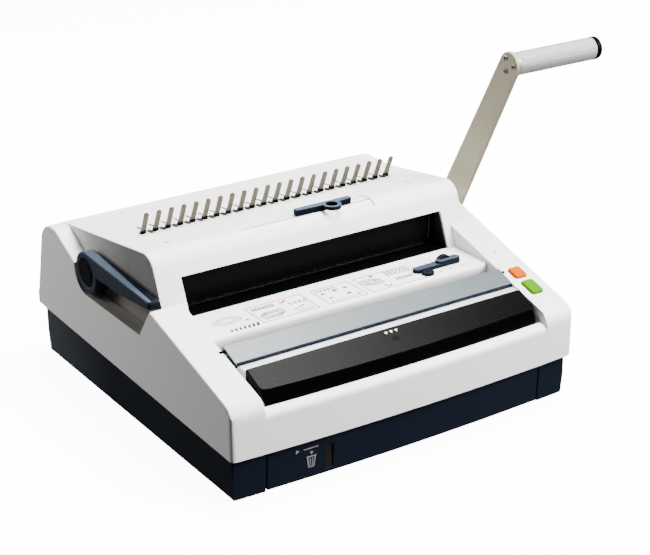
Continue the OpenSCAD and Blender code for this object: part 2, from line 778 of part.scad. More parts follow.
// Slotted plate under the top plane, with the fingers standing on it
module finger_plate() color(grey_metal) placed() on_top() difference() {
    slab([-plate_hx, -12, plate_n - finger_plate_t], [plate_hx, slot_back + 6, plate_n]);
    hook_slots(plate_n - finger_plate_t - over, plate_n + over);
}
module comb_fingers() color(nickel) placed() intersection() {
    tip_z = finger_len - finger_w / 2;
    at_fingers() translate([0, finger_y, top_z]) rotate([finger_lean, 0, 0]) {
        slab([-finger_w / 2, -finger_t / 2, -4 * cover_wall], [finger_w / 2, finger_t / 2, tip_z]);
        translate([0, finger_t / 2, tip_z]) rotate([90, 0, 0]) cylinder(d = finger_w, h = finger_t);
    }
    on_top() slab([-far, -far, plate_n], [far, far, far]);
}
module carriage_guides() color(black) placed() on_top() both_sides() difference() {
    slab([frame_in - guide_w, guide_front, carriage_n - carriage_t - guide_t],
        [frame_in, guide_back, carriage_n + guide_lip]);
    slab([frame_in - guide_w - over, guide_front - over, carriage_n - carriage_t - slide_gap],
        [carriage_hx + slide_gap, guide_back + over, carriage_n + slide_gap]);
}
module hook_carriage() color(grey_metal) placed() on_top() difference() {
    slot_r = crank_pin_d / 2 + crank_gap;
    union() {
        slab([-carriage_hx, carriage_front, carriage_n - carriage_t],
            [carriage_hx, carriage_back, carriage_n]);
        both_sides() slab([crank_x + ear_gap, pin_rest.x - slot_r - ear_w, pin_rest.y - slot_r - ear_foot],
            [crank_x + ear_gap + drive_t, pin_rest.x + slot_r + ear_w, carriage_n - over]);
    }
    both_sides() slab([crank_x, pin_rest.x - slot_r, pin_rest.y - slot_r],
        [crank_x + drive_t + over, pin_rest.x + slot_r, lever_local.y + crank_e + slot_r]);
}
module comb_hooks() color(grey_metal) placed() on_top() at_hooks() {
    slab([-hook_t / 2, hook_front, carriage_n], [hook_t / 2, hook_front + hook_l, hook_rise]);
    slab([-hook_t / 2, hook_front - hook_l, hook_rise - hook_t], [hook_t / 2, hook_front + over, hook_rise]);
}

// Comb lever with its shaft and cranks
module comb_lever() color(blue) placed() difference() {
    tip_y = lever_y - lever_reach;
    union() {
        rod([lever_y, lever_z], 2 * hub_r, lever_x, lever_in);
        along_x(lever_x, lever_in) polygon(rounded([[lever_y + 2, lever_z + hub_r - 0.1, 0],
            [tip_y, lever_z + 17, 4], [tip_y + 2, lever_z + 8.5, 4],
            [lever_y - hub_r - 54, lever_z + 2.5, 60], [lever_y - hub_r + 1, lever_z + 1, 3],
            [lever_y - hub_r + 6, lever_z - 12, 0], [lever_y, lever_z, 0]]));
    }
    rod([lever_y, lever_z], 2 * cap_r, lever_x - over, lever_x + cap_t);
    rod([lever_y, lever_z], lever_shaft_d, lever_x, lever_in + over);
}
module lever_cap() color(navy) placed() {
    rod([lever_y, lever_z], 2 * cap_r, lever_x + 1, lever_x + cap_t);
    rod([lever_y, lever_z], 1.4 * cap_r, lever_x + 0.2, lever_x + 1 + over);
}
module lever_shaft() color(steel) placed()
    rod([lever_y, lever_z], lever_shaft_d, lever_x + cap_t, frame_out + 3);
module lever_cranks() color(grey_metal) placed() on_top() both_sides() {
    x0 = crank_x + drive_t + 1.5;
    difference() {
        union() {
            rod(lever_local, lever_shaft_d + 8, x0, x0 + crank_t);
            rod(pin_rest, crank_pin_d + 5, x0, x0 + crank_t);
            translate([x0, lever_local.x, lever_local.y]) rotate([lever_turn / 2, 0, 0])
                slab([0, -crank_pin_d / 2 - 2, 0], [crank_t, crank_pin_d / 2 + 2, crank_e]);
        }
        rod(lever_local, lever_shaft_d, x0 - over, x0 + crank_t + over);
    }
    rod(pin_rest, crank_pin_d, crank_x, x0 + over);
}

// Punch handle with its shaft and eccentrics
module handle_arm() color(nickel) placed() difference() {
    side = [cos(arm_lean), sin(arm_lean)];
    pivot = [shaft_y, shaft_z];
    union() {
        along_x(arm_x, grip_x) polygon([pivot + arm_root_r * side, grip_pos + arm_end_r * side,
            grip_pos - arm_end_r * side, pivot - arm_root_r * side]);
        rod(pivot, 2 * arm_root_r, arm_x, grip_x);
        rod(grip_pos, 2 * arm_end_r, arm_x, grip_x);
    }
    rod(pivot, spigot_d, arm_x - over, grip_x + over);
    at_grip_screws() rod([0, 0], grip_screw_d, arm_x - over, grip_x + over);
}
module at_grip_screws() for (a = [30, 150, 270]) {
    spot = grip_pos + grip_screw_r * [cos(a + arm_lean), sin(a + arm_lean)];
    translate([0, spot.x, spot.y]) children();
}
module handle_grip() color(white) placed() difference() {
    steps = 2 * grip_ribs;
    translate([grip_x + grip_flange_t, 0, 0]) rotate([90, 0, 90]) linear_extrude(grip_len - grip_flange_t)
        polygon([for (i = [0 : steps - 1]) let (a = 360 * i / steps)
            grip_pos + (grip_d / 2 - (i % 2) * rib_depth) * [cos(a), sin(a)]]);
    rod(grip_pos, stud_d, grip_x, grip_end_x);
}
module grip_stud() color(grey_metal) placed() difference() {
    union() {
        rod(grip_pos, grip_d - 1, grip_x, grip_x + grip_flange_t);
        rod(grip_pos, stud_d, grip_x, grip_x + grip_len);
    }
    at_grip_screws() rod([0, 0], grip_screw_d, grip_x - over, grip_x + grip_flange_t);
}
module grip_cap() color(black) placed() translate([grip_x + grip_len, grip_pos.x, grip_pos.y])
    rotate([0, 90, 0]) rotate_extrude() polygon(concat([[0, 0], [grip_d / 2 + 0.3, 0]],
        arc([grip_d / 2 + 0.3 - cap_edge, cap_len - cap_edge], cap_edge, 0, 90), [[0, cap_len]]));
module grip_screws() color(grey_metal) placed() at_grip_screws() {
    rod([0, 0], 2 * grip_screw_d, arm_x - grip_screw_head, arm_x);
    rod([0, 0], grip_screw_d, arm_x - grip_screw_head / 2, grip_x + grip_flange_t);
}
module punch_shaft() color(steel) placed() {
    rod([shaft_y, shaft_z], shaft_d, -frame_out - 3, arm_x);
    rod([shaft_y, shaft_z], spigot_d, arm_x - over, grip_x + nut_t);
}
module punch_cams() color(grey_metal) placed() both_sides() difference() {
    rod(cam_pos, 2 * cam_r, cam_x, cam_x + cam_t);
    rod([shaft_y, shaft_z], shaft_d, cam_x - over, cam_x + cam_t + over);
}
module arm_nut() color(grey_metal) placed() difference() {
    translate([grip_x, shaft_y, shaft_z]) rotate([0, 90, 0]) cylinder(d = spigot_d + 9, h = nut_t, $fn = 6);
    rod([shaft_y, shaft_z], spigot_d, grip_x - over, grip_x + nut_t + over);
}

// Punch bar with its punches, and the yokes that the eccentrics turn in
module punch_bar() color(grey_metal) placed() difference() {
    slab([-cam_x - cam_t, bar_front_y, bar_z], [cam_x + cam_t, yoke_y, bar_z + bar_h]);
    at_posts() cylinder(d = post_d + 2 * run_gap, h = far);
}
module punches() color(steel) placed() at_hooks()
    slab([-punch_w / 2, punch_y - punch_t / 2, stripper_z + punch_lift],
        [punch_w / 2, punch_y + punch_t / 2, bar_z]);
module cam_yokes() color(grey_metal) placed() both_sides() {
    low = cam_pos.y - cam_r - slide_gap;
    high = cam_pos.y + cam_r + slide_gap;
    near = shaft_y - cam_e - cam_r - 2 * slide_gap;
    rear = cam_pos.x + cam_r + 2 * slide_gap;
    difference() {
        along_x(cam_x, cam_x + cam_t) polygon([[yoke_y, low - yoke_wall], [rear + yoke_wall, low - yoke_wall],
            [rear + yoke_wall, high + yoke_wall], [yoke_y + 15, high + yoke_wall],
            [yoke_y + 15, bar_z + bar_h], [yoke_y, bar_z + bar_h]]);
        slab([cam_x - over, near, low], [cam_x + cam_t + over, rear, high]);
    }
}

// Stop slider on the ridge and size slide on the ledge, each with a clip under the cover
module stop_slider() color(blue) placed() on_crest() {
    translate([stop_x, 0, slide_gap]) pad(stop_l, stop_d, 2, stop_h);
    translate([stop_x + ring_x, ring_y, slide_gap + stop_h - ring_h]) tube(ring_d, ring_bore, ring_h);
    slab([stop_x - stop_stem / 2, track_y - track_w / 2 + slide_gap, -cover_wall - stop_sag],
        [stop_x + stop_stem / 2, track_y + track_w / 2 - slide_gap, slide_gap + over]);
}
module stop_clip() color(black) placed() on_crest()
    slab([stop_x - stop_stem / 2 - 2, -4, -cover_wall - stop_sag - clip_t],
        [stop_x + stop_stem / 2 + 2, 4, -cover_wall - stop_sag]);
module size_slide() color(blue) placed() {
    z0 = ledge_z + slide_gap;
    translate([size_x, size_y, z0]) pad(size_l, size_d, 4, size_h);
    translate([size_x + size_l / 4, size_y, z0]) pad(size_l / 2, size_d, 4, size_grip_h);
    translate([size_x - size_tab_x, size_y - size_d / 2 - size_tab_d / 2 + over, z0])
        cylinder(d = size_tab_d, h = size_tab_h);
    intersection() {
        translate([size_x + size_bump_x, size_y + over, z0]) rotate([-90, 0, 0])
            cylinder(r = size_bump_r, h = size_bump_d);
        slab([size_x - size_l, 0, z0], [size_x + size_l, far, far]);
    }
    slab([size_x - size_stem / 2, size_y - track_w / 2 + slide_gap, ledge_z - cover_wall - slide_gap],
        [size_x + size_stem / 2, size_y + track_w / 2 - slide_gap, z0 + over]);
}
module size_clip() color(black) placed()
    slab([size_x - size_stem / 2 - 2, size_y - 4, ledge_z - cover_wall - slide_gap - clip_t],
        [size_x + size_stem / 2 + 2, size_y + 4, ledge_z - cover_wall - slide_gap]);

// Wire closer: anvil strip, hinged flap and sprung press bar
module closer_anvil() color([0.8, 0.81, 0.82]) placed() along_x(-press_hx, press_hx) polygon([
    [pocket_back_y, trough_floor_z], [anvil_back_y, trough_floor_z], [anvil_back_y, flap_rest_z],
    [flap_front_y - over, flap_rest_z], [flap_front_y - over, anvil_z], [pocket_back_y, anvil_z]]);
module flap_pins() color(steel) placed() both_sides()
    rod(hinge_pos, hinge_d, flap_hx - hinge_l + 2, trough_hx + cover_wall);
module closer_flap() color([0.72, 0.76, 0.78, 0.7]) placed() difference() {
    drop = flap_t * [sin(flap_slope), -cos(flap_slope)];
    front = [flap_front_y, flap_front_z];
    back = [flap_back_y, flap_at(flap_back_y)];
    union() {
        along_x(-flap_hx, flap_hx) polygon([front + drop, back + drop, back, front]);
        both_sides() rod(hinge_pos, 2 * hinge_lug_r, flap_hx - hinge_l, flap_hx);
    }
    both_sides() rod(hinge_pos, hinge_d + 2 * run_gap, flap_hx - hinge_l - over, flap_hx + over);
}
module at_press_springs() for (k = [-3, -1, 1, 3])
    translate([k * press_spring_step, press_back_y / 2, 0]) children();
module press_mass(t, foot) intersection() {
    back_y = press_back_y - t;
    front_y = press_low_y - 5;
    drop = t * norm([1, press_at(1) - press_at(0)]);
    along_x(-press_hx + t, press_hx - t) polygon([[front_y, foot], [back_y, foot],
        [back_y, press_at(back_y) - drop], [front_y, press_at(front_y) - drop]]);
    bowed([[press_low_y + t, 0], [far, 0], [far, far], [press_front_y + t, far],
        [press_front_y + t, press_front_z], [press_low_y + t, apron_z]]);
}
module press_bar() color(black) placed() {
    foot = pocket_floor_z + press_travel + 2;
    difference() {
        press_mass(0, foot);
        difference() {
            press_mass(press_wall, foot - over);
            at_press_springs() translate([0, 0, press_seat_z]) cylinder(d = press_spring_d + 2, h = far);
        }
    }
}
module press_springs() color(steel) placed() at_press_springs() translate([0, 0, pocket_floor_z])
    tube(press_spring_d, press_spring_d - 3, press_seat_z - pocket_floor_z);

// Push buttons in the right rail, with their springs and bracket
module button(y, l) on_rail(y) {
    translate([0, 0, -cover_wall - slide_gap - button_flange])
        pad(button_w + 4, l + 4, button_r, button_flange);
    translate([0, 0, -cover_wall - slide_gap - over])
        pad(button_w, l, button_r, button_rise + cover_wall + slide_gap + over);
    translate([0, 0, bracket_n - bracket_t - over])
        cylinder(d = stem_d, h = bracket_t - bracket_n - cover_wall);
}
module button_spring(y) on_rail(y) translate([0, 0, bracket_n])
    tube(stem_d + 4, stem_d + 2, -cover_wall - slide_gap - button_flange - bracket_n);
module comb_button() color([0.98, 0.56, 0.28]) placed() button(comb_button_y, comb_button_l);
module wire_button() color([0.55, 0.8, 0.16]) placed() button(wire_button_y, wire_button_l);
module comb_button_spring() color(steel) placed() button_spring(comb_button_y);
module wire_button_spring() color(steel) placed() button_spring(wire_button_y);
module button_bracket() color(black) placed() difference() {
    span = (comb_button_y - wire_button_y) / cos(rail_slope);
    on_rail(wire_button_y)
        slab([trough_hx + cover_wall - button_x, -wire_button_l / 2, bracket_n - bracket_t],
            [cover_hx - cover_wall - button_x, span + comb_button_l / 2, bracket_n]);
    for (y = [comb_button_y, wire_button_y])
        on_rail(y) translate([0, 0, bracket_n - bracket_t - over])
            cylinder(d = stem_d + 2 * run_gap, h = bracket_t + 2 * over);
}

// Chip drawer with its window
module window_pane(y0, y1) translate([window_x, 0, window_z])
    slab([-window_w / 2, y0, 0], [window_w / 2, y1, window_h]);
module chip_drawer() color(navy) placed() difference() {
    tray_z = floor_z + slide_gap;
    tray_hx = drawer_hx - tray_wall;
    union() {
        intersection() {
            base_mass(0, base_z, 0);
            slab([-drawer_hx, -100, base_z + 1.2], [drawer_hx, panel_back_y, parting_at(front_y) - 1]);
        }
        slab([-tray_hx, panel_back_y - over, tray_z], [tray_hx, drawer_back_y, tray_z + drawer_h]);
    }
    slab([-tray_hx + tray_wall, panel_front_y, tray_z + tray_wall],
        [tray_hx - tray_wall, drawer_back_y - tray_wall, far]);
    window_pane(-front_room, panel_back_y);
}
module drawer_window() color([0.25, 0.2, 0.15, 0.7]) placed() window_pane(window_y, window_y + window_t);

base_tray();
rubber_feet();
base_screws();
top_cover();
throat_liner();
left_frame();
right_frame();
tie_bars();
frame_screws();
die_plate();
stripper_plate();
die_spacers();
guide_posts();
punch_springs();
shaft_bushes();
lever_bushes();
finger_plate();
comb_fingers();
carriage_guides();
closer_anvil();
flap_pins();
button_bracket();
comb_button_spring();
wire_button_spring();
press_springs();
handle_arm();
handle_grip();
grip_stud();
grip_cap();
grip_screws();
punch_shaft();
punch_cams();
arm_nut();
punch_bar();
punches();
cam_yokes();
comb_lever();
lever_cap();
lever_shaft();
lever_cranks();
hook_carriage();
comb_hooks();
stop_slider();
stop_clip();
size_slide();
size_clip();
closer_flap();
press_bar();
comb_button();
wire_button();
chip_drawer();
drawer_window();
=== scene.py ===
"""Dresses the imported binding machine: moulded shells, controls, printed marks, finishes and studio."""

import math

import bmesh
import bpy
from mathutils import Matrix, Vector


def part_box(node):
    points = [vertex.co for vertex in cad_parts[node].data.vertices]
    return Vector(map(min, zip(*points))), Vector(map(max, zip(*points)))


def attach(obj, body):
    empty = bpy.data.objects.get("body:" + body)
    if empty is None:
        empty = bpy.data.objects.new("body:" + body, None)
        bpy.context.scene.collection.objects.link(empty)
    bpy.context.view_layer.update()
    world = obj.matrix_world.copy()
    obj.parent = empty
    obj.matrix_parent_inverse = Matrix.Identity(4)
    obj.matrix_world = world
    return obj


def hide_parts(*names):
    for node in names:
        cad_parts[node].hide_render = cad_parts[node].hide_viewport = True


bl_info = {
    "name": "Binding Machine",
    "version": (1, 0, 0),
    "blender": (4, 5, 0),
    "location": "View3D > Sidebar > Binder",
    "description": "Models and finishes a comb and wire binding machine on its packed frame",
    "category": "Object",
}

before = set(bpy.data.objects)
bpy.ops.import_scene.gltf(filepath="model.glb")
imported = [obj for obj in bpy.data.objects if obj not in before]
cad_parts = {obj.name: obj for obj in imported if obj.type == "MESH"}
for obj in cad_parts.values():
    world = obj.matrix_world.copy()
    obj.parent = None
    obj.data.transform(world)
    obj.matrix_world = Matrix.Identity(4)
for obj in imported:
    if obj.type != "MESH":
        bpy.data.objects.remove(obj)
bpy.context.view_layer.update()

# The casing's middle at its front edge, as seen from the frame's origin, in metres
CASING = Vector((0.05975, 0.19245, 0.0))
MM = 0.001

# Half widths of the casing's upright planes, the press bar and the drawer's front, in millimetres
COVER_HX = 203.0
HUMP_HX = 185.0
TROUGH_HX = 167.0
THROAT_HX = 157.5
PRESS_HX = 163.0
DRAWER_HX = 162.7

# Height and front of the ledge, a point of the top plane and the front height of the cover's lower
# edge, in millimetres, with the tilts of these, of the rails and of the flap in degrees
LEDGE_Z = 122.0
LEDGE_Y = 89.0
TOP_Y = 249.0
TOP_Z = 173.7
TOP_TILT = 8.7
RAIL_TILT = 15.9
FOOT_Z = 46.0
FOOT_TILT = 1.44
FLAP_TILT = 20.5

# Axes of the punch shaft and the grip, middle of the stop's finger ring, in millimetres
SHAFT_Y = 231.5
SHAFT_Z = 95.0
GRIP_Y = 113.86
GRIP_Z = 322.93
RING_X = 30.0
RING_Y = 175.9

# Comb fingers, with their pitch in millimetres
FINGERS = 22
PITCH = 14.2875

# Front edge, rise and run of the press bar's top, in millimetres
PRESS_Y = 2.0
PRESS_Z = 102.0
PRESS_RISE = 13.0
PRESS_RUN = 29.5

# Angle in degrees up to which triangles of a moulded control are taken as one face
ONE_FACE = 0.3

# Sockets of a mix node that are in use when it mixes colours
MIX_FACTOR = 0
MIX_FIRST = 6
MIX_SECOND = 7
MIX_RESULT = 2


# Points, selection and edges


def place(x, y, z):
    """Point of the frame, in metres, from casing millimetres."""
    return Vector((x, y, z)) * MM - CASING


def casing_mm(point):
    """Casing millimetres of a point of the frame."""
    return (point + CASING) / MM


def near(value, target, slack=0.05):
    """True where a value lies at a target or at its mirror image."""
    return abs(abs(value) - target) < slack


def only(piece):
    """Selects one piece and nothing else."""
    if bpy.context.object and bpy.context.object.mode != "OBJECT":
        bpy.ops.object.mode_set(mode="OBJECT")
    bpy.ops.object.select_all(action="DESELECT")
    bpy.context.view_layer.objects.active = piece
    piece.select_set(True)


def start_from(node, name, flat=0.02):
    """New piece that starts as a node's shape, with triangles that agree within an angle joined."""
    piece = bpy.data.objects.new(name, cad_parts[node].data.copy())
    bpy.context.scene.collection.objects.link(piece)
    piece.data.materials.clear()
    only(piece)
    bpy.ops.mesh.customdata_custom_splitnormals_clear()
    bpy.ops.object.mode_set(mode="EDIT")
    bpy.ops.mesh.select_all(action="SELECT")
    bpy.ops.mesh.remove_doubles(threshold=0.002 * MM)
    bpy.ops.mesh.dissolve_limited(angle_limit=math.radians(flat))
    bpy.ops.mesh.select_all(action="DESELECT")
    bpy.ops.object.mode_set(mode="OBJECT")
    return piece


def pick_edges(piece, wanted):
    """Selects the edges that are wanted, judged by the edge and its middle."""
    only(piece)
    bpy.ops.object.mode_set(mode="EDIT")
    bpy.ops.mesh.select_mode(type="EDGE")
    bpy.ops.mesh.select_all(action="DESELECT")
    mesh = bmesh.from_edit_mesh(piece.data)
    picked = [e for e in mesh.edges if wanted(e, casing_mm((e.verts[0].co + e.verts[1].co) / 2))]
    for edge in picked:
        edge.select_set(True)
    bmesh.update_edit_mesh(piece.data)
    if not picked:
        raise RuntimeError("no such edge on " + piece.name)


def round_edges(piece, width, segments, wanted, sharp=25.0):
    """Rounds the sharp outer edges whose middle is wanted, with a radius in metres."""

    def outer(edge, m):
        if len(edge.link_faces) != 2 or not edge.is_convex or not wanted(m):
            return False
        return edge.calc_face_angle() > math.radians(sharp)

    pick_edges(piece, outer)
    bpy.ops.mesh.bevel(offset=width, segments=segments, profile=0.5, affect="EDGES", clamp_overlap=False)
    bpy.ops.mesh.select_all(action="DESELECT")
    bpy.ops.object.mode_set(mode="OBJECT")


def pick_faces(piece, wanted):
    """Selects the faces whose middle and normal are wanted."""
    only(piece)
    bpy.ops.object.mode_set(mode="EDIT")
    bpy.ops.mesh.select_mode(type="FACE")
    bpy.ops.mesh.select_all(action="DESELECT")
    mesh = bmesh.from_edit_mesh(piece.data)
    for face in mesh.faces:
        face.select_set(wanted(casing_mm(face.calc_center_median()), face.normal))
    bmesh.update_edit_mesh(piece.data)


def cut_faces(piece, wanted, point, normal):
    """Cuts the faces whose middle and normal are wanted along a plane."""
    pick_faces(piece, wanted)
    bpy.ops.mesh.bisect(plane_co=point, plane_no=normal)
    bpy.ops.mesh.select_all(action="DESELECT")
    bpy.ops.object.mode_set(mode="OBJECT")


def shift_faces(piece, wanted, *shift):
    """Moves the faces whose middle and normal are wanted, by millimetres."""
    pick_faces(piece, wanted)
    bpy.ops.transform.translate(value=Vector(shift) * MM)
    bpy.ops.mesh.select_all(action="DESELECT")
    bpy.ops.object.mode_set(mode="OBJECT")


def bore(piece, radius, depth, middle):
    """Cuts an upright hole with a size and a middle in casing millimetres."""
    bpy.ops.object.select_all(action="DESELECT")
    bpy.ops.mesh.primitive_cylinder_add(vertices=64, radius=radius * MM, depth=depth * MM,
                                        location=place(*middle))
    cutter = bpy.context.object
    only(piece)
    hole = piece.modifiers.new("bore", "BOOLEAN")
    hole.operation = "DIFFERENCE"
    hole.object = cutter
    bpy.ops.object.modifier_apply(modifier=hole.name)
    only(cutter)
    bpy.ops.object.delete()


def slab(name, size, middle, tilt=0.0, edge=0.0):
    """Block with a size and a middle in casing millimetres, tilted back by an angle."""
    bpy.ops.object.select_all(action="DESELECT")
    bpy.ops.mesh.primitive_cube_add(size=MM, location=place(*middle), rotation=(math.radians(tilt), 0, 0))
    block = bpy.context.object
    block.name = name
    block.scale = size
    bpy.ops.object.transform_apply(location=False, rotation=False, scale=True)
    if edge:
        bpy.ops.object.mode_set(mode="EDIT")
        bpy.ops.mesh.select_all(action="SELECT")
        bpy.ops.mesh.bevel(offset=edge * MM, segments=2, affect="EDGES")
        bpy.ops.object.mode_set(mode="OBJECT")
    bpy.ops.object.transform_apply(location=True, rotation=True, scale=True)
    return block


def twin(piece, *shift):
    """Copy of a piece, moved by millimetres."""
    only(piece)
    bpy.ops.object.duplicate()
    bpy.ops.transform.translate(value=Vector(shift) * MM)
    bpy.ops.object.transform_apply(location=True, rotation=True, scale=True)
    return bpy.context.object


def row(pieces, count, *step):
    """Repeats pieces along a line, a step in millimetres apart."""
    for piece in pieces:
        only(piece)
        bpy.ops.object.transform_apply(location=True, rotation=True, scale=True)
        line = piece.modifiers.new("row", "ARRAY")
        line.count = count
        line.use_relative_offset = False
        line.use_constant_offset = True
        line.constant_offset_displace = Vector(step) * MM
        bpy.ops.object.modifier_apply(modifier=line.name)
    return pieces


def joined(name, *pieces):
    """One piece made of several."""
    bpy.ops.object.select_all(action="DESELECT")
    for piece in pieces:
        piece.select_set(True)
    bpy.context.view_layer.objects.active = pieces[0]
    bpy.ops.object.join()
    bpy.context.object.name = name
    return bpy.context.object


def top_mm(m):
    """Place along the top plane and height over it, of a point in casing millimetres."""
    slope = math.radians(TOP_TILT)
    y, z = m.y - TOP_Y, m.z - TOP_Z
    return y * math.cos(slope) - z * math.sin(slope), y * math.sin(slope) + z * math.cos(slope)


def smooth(piece, angle=32.0):
    """Shades a piece smooth up to an angle, with its flat faces kept flat."""
    only(piece)
    bpy.ops.object.shade_smooth_by_angle(angle=math.radians(angle))
    flat = piece.modifiers.new("flat_faces", "WEIGHTED_NORMAL")
    flat.keep_sharp = True
    bpy.ops.object.modifier_apply(modifier=flat.name)


def dress(piece, body, slot, finish, *nodes):
    """Gives a piece its finish, its body and the nodes that it stands for."""
    piece.data.materials.clear()
    piece.data.materials.append(finish)
    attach(piece, body)
    if nodes:
        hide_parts(*nodes)


def finish_nodes(finish, *nodes):
    """Gives frame nodes that keep their shape a finish."""
    for node in nodes:
        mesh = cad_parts[node].data
        mesh.materials.clear()
        mesh.materials.append(finish)


def put_finish(piece, finish, wanted):
    """Gives the faces whose middle and normal are wanted a second finish."""
    piece.data.materials.append(finish)
    for face in piece.data.polygons:
        if wanted(casing_mm(face.center), face.normal):
            face.material_index = len(piece.data.materials) - 1


# Finishes


class Finish:
    """Material under construction, with its shader and its coordinates."""

    def __init__(self, name):
        self.material = bpy.data.materials.new(name)
        self.material.use_nodes = True
        self.tree = self.material.node_tree
        self.tree.nodes.clear()
        self.shader = self.tree.nodes.new("ShaderNodeBsdfPrincipled")
        out = self.tree.nodes.new("ShaderNodeOutputMaterial")
        self.tree.links.new(self.shader.outputs["BSDF"], out.inputs["Surface"])
        self.where = self.tree.nodes.new("ShaderNodeTexCoord").outputs["Object"]

    def set(self, **values):
        """Sets sockets that are the same all over the surface."""
        for name, value in values.items():
            self.shader.inputs[name.replace("_", " ")].default_value = value

    def noise(self, scale, detail=2.0, stretch=None):
        """Noise of a scale, drawn out by a stretch along each axis."""
        node = self.tree.nodes.new("ShaderNodeTexNoise")
        node.inputs["Scale"].default_value = scale
        node.inputs["Detail"].default_value = detail
        where = self.where
        if stretch:
            mapping = self.tree.nodes.new("ShaderNodeMapping")
            mapping.inputs["Scale"].default_value = stretch
            self.tree.links.new(where, mapping.inputs["Vector"])
            where = mapping.outputs["Vector"]
        self.tree.links.new(where, node.inputs["Vector"])
        return node.outputs["Fac"]

    def along(self, axis, first, last):
        """Factor that goes from 0 to 1 between two places along an axis, in casing millimetres."""
        split = self.tree.nodes.new("ShaderNodeSeparateXYZ")
        self.tree.links.new(self.where, split.inputs["Vector"])
        node = self.tree.nodes.new("ShaderNodeMapRange")
        node.inputs["From Min"].default_value = place(first, first, first)["XYZ".index(axis)]
        node.inputs["From Max"].default_value = place(last, last, last)["XYZ".index(axis)]
        self.tree.links.new(split.outputs[axis], node.inputs["Value"])
        return node.outputs["Result"]

    def colours(self, factor, first, second):
        """Base colour that goes from one colour to another."""
        node = self.tree.nodes.new("ShaderNodeMix")
        node.data_type = "RGBA"
        node.inputs[MIX_FIRST].default_value = (*first, 1)
        node.inputs[MIX_SECOND].default_value = (*second, 1)
        self.tree.links.new(factor, node.inputs[MIX_FACTOR])
        self.tree.links.new(node.outputs[MIX_RESULT], self.shader.inputs["Base Color"])

    def roughness(self, factor, low, high):
        """Roughness that goes from low to high."""
        node = self.tree.nodes.new("ShaderNodeMapRange")
        node.inputs["From Min"].default_value = 0.3
        node.inputs["From Max"].default_value = 0.7
        node.inputs["To Min"].default_value = low
        node.inputs["To Max"].default_value = high
        self.tree.links.new(factor, node.inputs["Value"])
        self.tree.links.new(node.outputs["Result"], self.shader.inputs["Roughness"])

    def relief(self, factor, depth, strength=0.5):
        """Fine relief of a depth in metres."""
        node = self.tree.nodes.new("ShaderNodeBump")
        node.inputs["Distance"].default_value = depth
        node.inputs["Strength"].default_value = strength
        self.tree.links.new(factor, node.inputs["Height"])
        self.tree.links.new(node.outputs["Normal"], self.shader.inputs["Normal"])


def shade(colour, factor):
    """Colour made lighter or darker."""
    return tuple(min(1.0, c * factor) for c in colour)


def moulded(name, colour, low, high, grain, depth, mottle=0.04, **values):
    """Injection moulded plastic with a fine grain and a faint cloudiness."""
    made = Finish(name)
    made.colours(made.noise(14, 3), shade(colour, 1 - mottle), shade(colour, 1 + mottle))
    fine = made.noise(grain, 1.5)
    made.roughness(fine, low, high)
    made.relief(fine, depth)
    made.set(**values)
    return made.material


def satin(name, colour, low, high, gloss):
    """Fine satin plastic of the controls."""
    return moulded(name, colour, low, high, 1200, 0.02 * MM, 0.06, Specular_IOR_Level=gloss)


def faded(name, one, other, axis, first, last):
    """Moulded plastic that goes from one colour to another between two places along an axis, for painted
    shade and a painted sheen.
    """
    made = Finish(name)
    made.colours(made.along(axis, first, last), one, other)
    fine = made.noise(900, 1.5)
    made.roughness(fine, 0.45, 0.6)
    made.relief(fine, 0.03 * MM)
    made.set(Specular_IOR_Level=0.2)
    return made.material


def metal(name, colour, low, high, stretch, depth, mottle=0.08, share=1.0):
    """Metal, or plating in part, with fine lines drawn out along one axis."""
    made = Finish(name)
    lines = made.noise(900, 2, stretch)
    made.colours(lines, shade(colour, 1 - mottle), shade(colour, 1 + mottle))
    made.roughness(lines, low, high)
    made.relief(lines, depth, 0.3)
    made.set(Metallic=share)
    return made.material


def clear_sheet(name, colour, transmission, low, high):
    """Tinted clear plastic with faint drawn streaks."""
    made = Finish(name)
    streaks = made.noise(60, 2, (0.3, 1.0, 1.0))
    made.colours(streaks, shade(colour, 0.995), shade(colour, 1.005))
    made.roughness(streaks, low, high)
    made.set(IOR=1.49, Transmission_Weight=transmission, Specular_IOR_Level=0.3)
    return made.material


def ink(name, colour):
    """Printed ink with a slightly uneven cover."""
    made = Finish(name)
    made.colours(made.noise(700, 3), shade(colour, 0.85), shade(colour, 1.15))
    made.set(Roughness=0.6)
    return made.material


# Printed marks, drawn in millimetres on a flat plane and then set on the machine


def bar(u, v, length, width, turn=0.0):
    """Straight mark."""
    bpy.ops.mesh.primitive_plane_add(size=MM, location=(u * MM, v * MM, 0),
                                     rotation=(0, 0, math.radians(turn)))
    bpy.context.object.scale = (length, width, 1)
    return [bpy.context.object]


def disc(u, v, radius, corners=20, squeeze=1.0, turn=0.0):
    """Round or many-cornered mark."""
    bpy.ops.mesh.primitive_circle_add(vertices=corners, radius=radius * MM, fill_type="NGON",
                                      location=(u * MM, v * MM, 0), rotation=(0, 0, math.radians(turn)))
    bpy.context.object.scale = (1, squeeze, 1)
    return [bpy.context.object]


def ring(u, v, radius, width, squeeze=1.0):
    """Round outline."""
    bpy.ops.mesh.primitive_circle_add(vertices=28, radius=radius * MM, fill_type="NGON",
                                      location=(u * MM, v * MM, 0))
    outline = bpy.context.object
    bpy.ops.object.mode_set(mode="EDIT")
    bpy.ops.mesh.select_all(action="SELECT")
    bpy.ops.mesh.inset(thickness=width * MM)
    bpy.ops.mesh.delete(type="FACE")
    bpy.ops.object.mode_set(mode="OBJECT")
    outline.scale = (1, squeeze, 1)
    return [outline]


def panel(u, v, width, height, line):
    """Box outline."""
    return (bar(u, v - height / 2, width, line) + bar(u, v + height / 2, width, line)
            + bar(u - width / 2, v, line, height) + bar(u + width / 2, v, line, height))


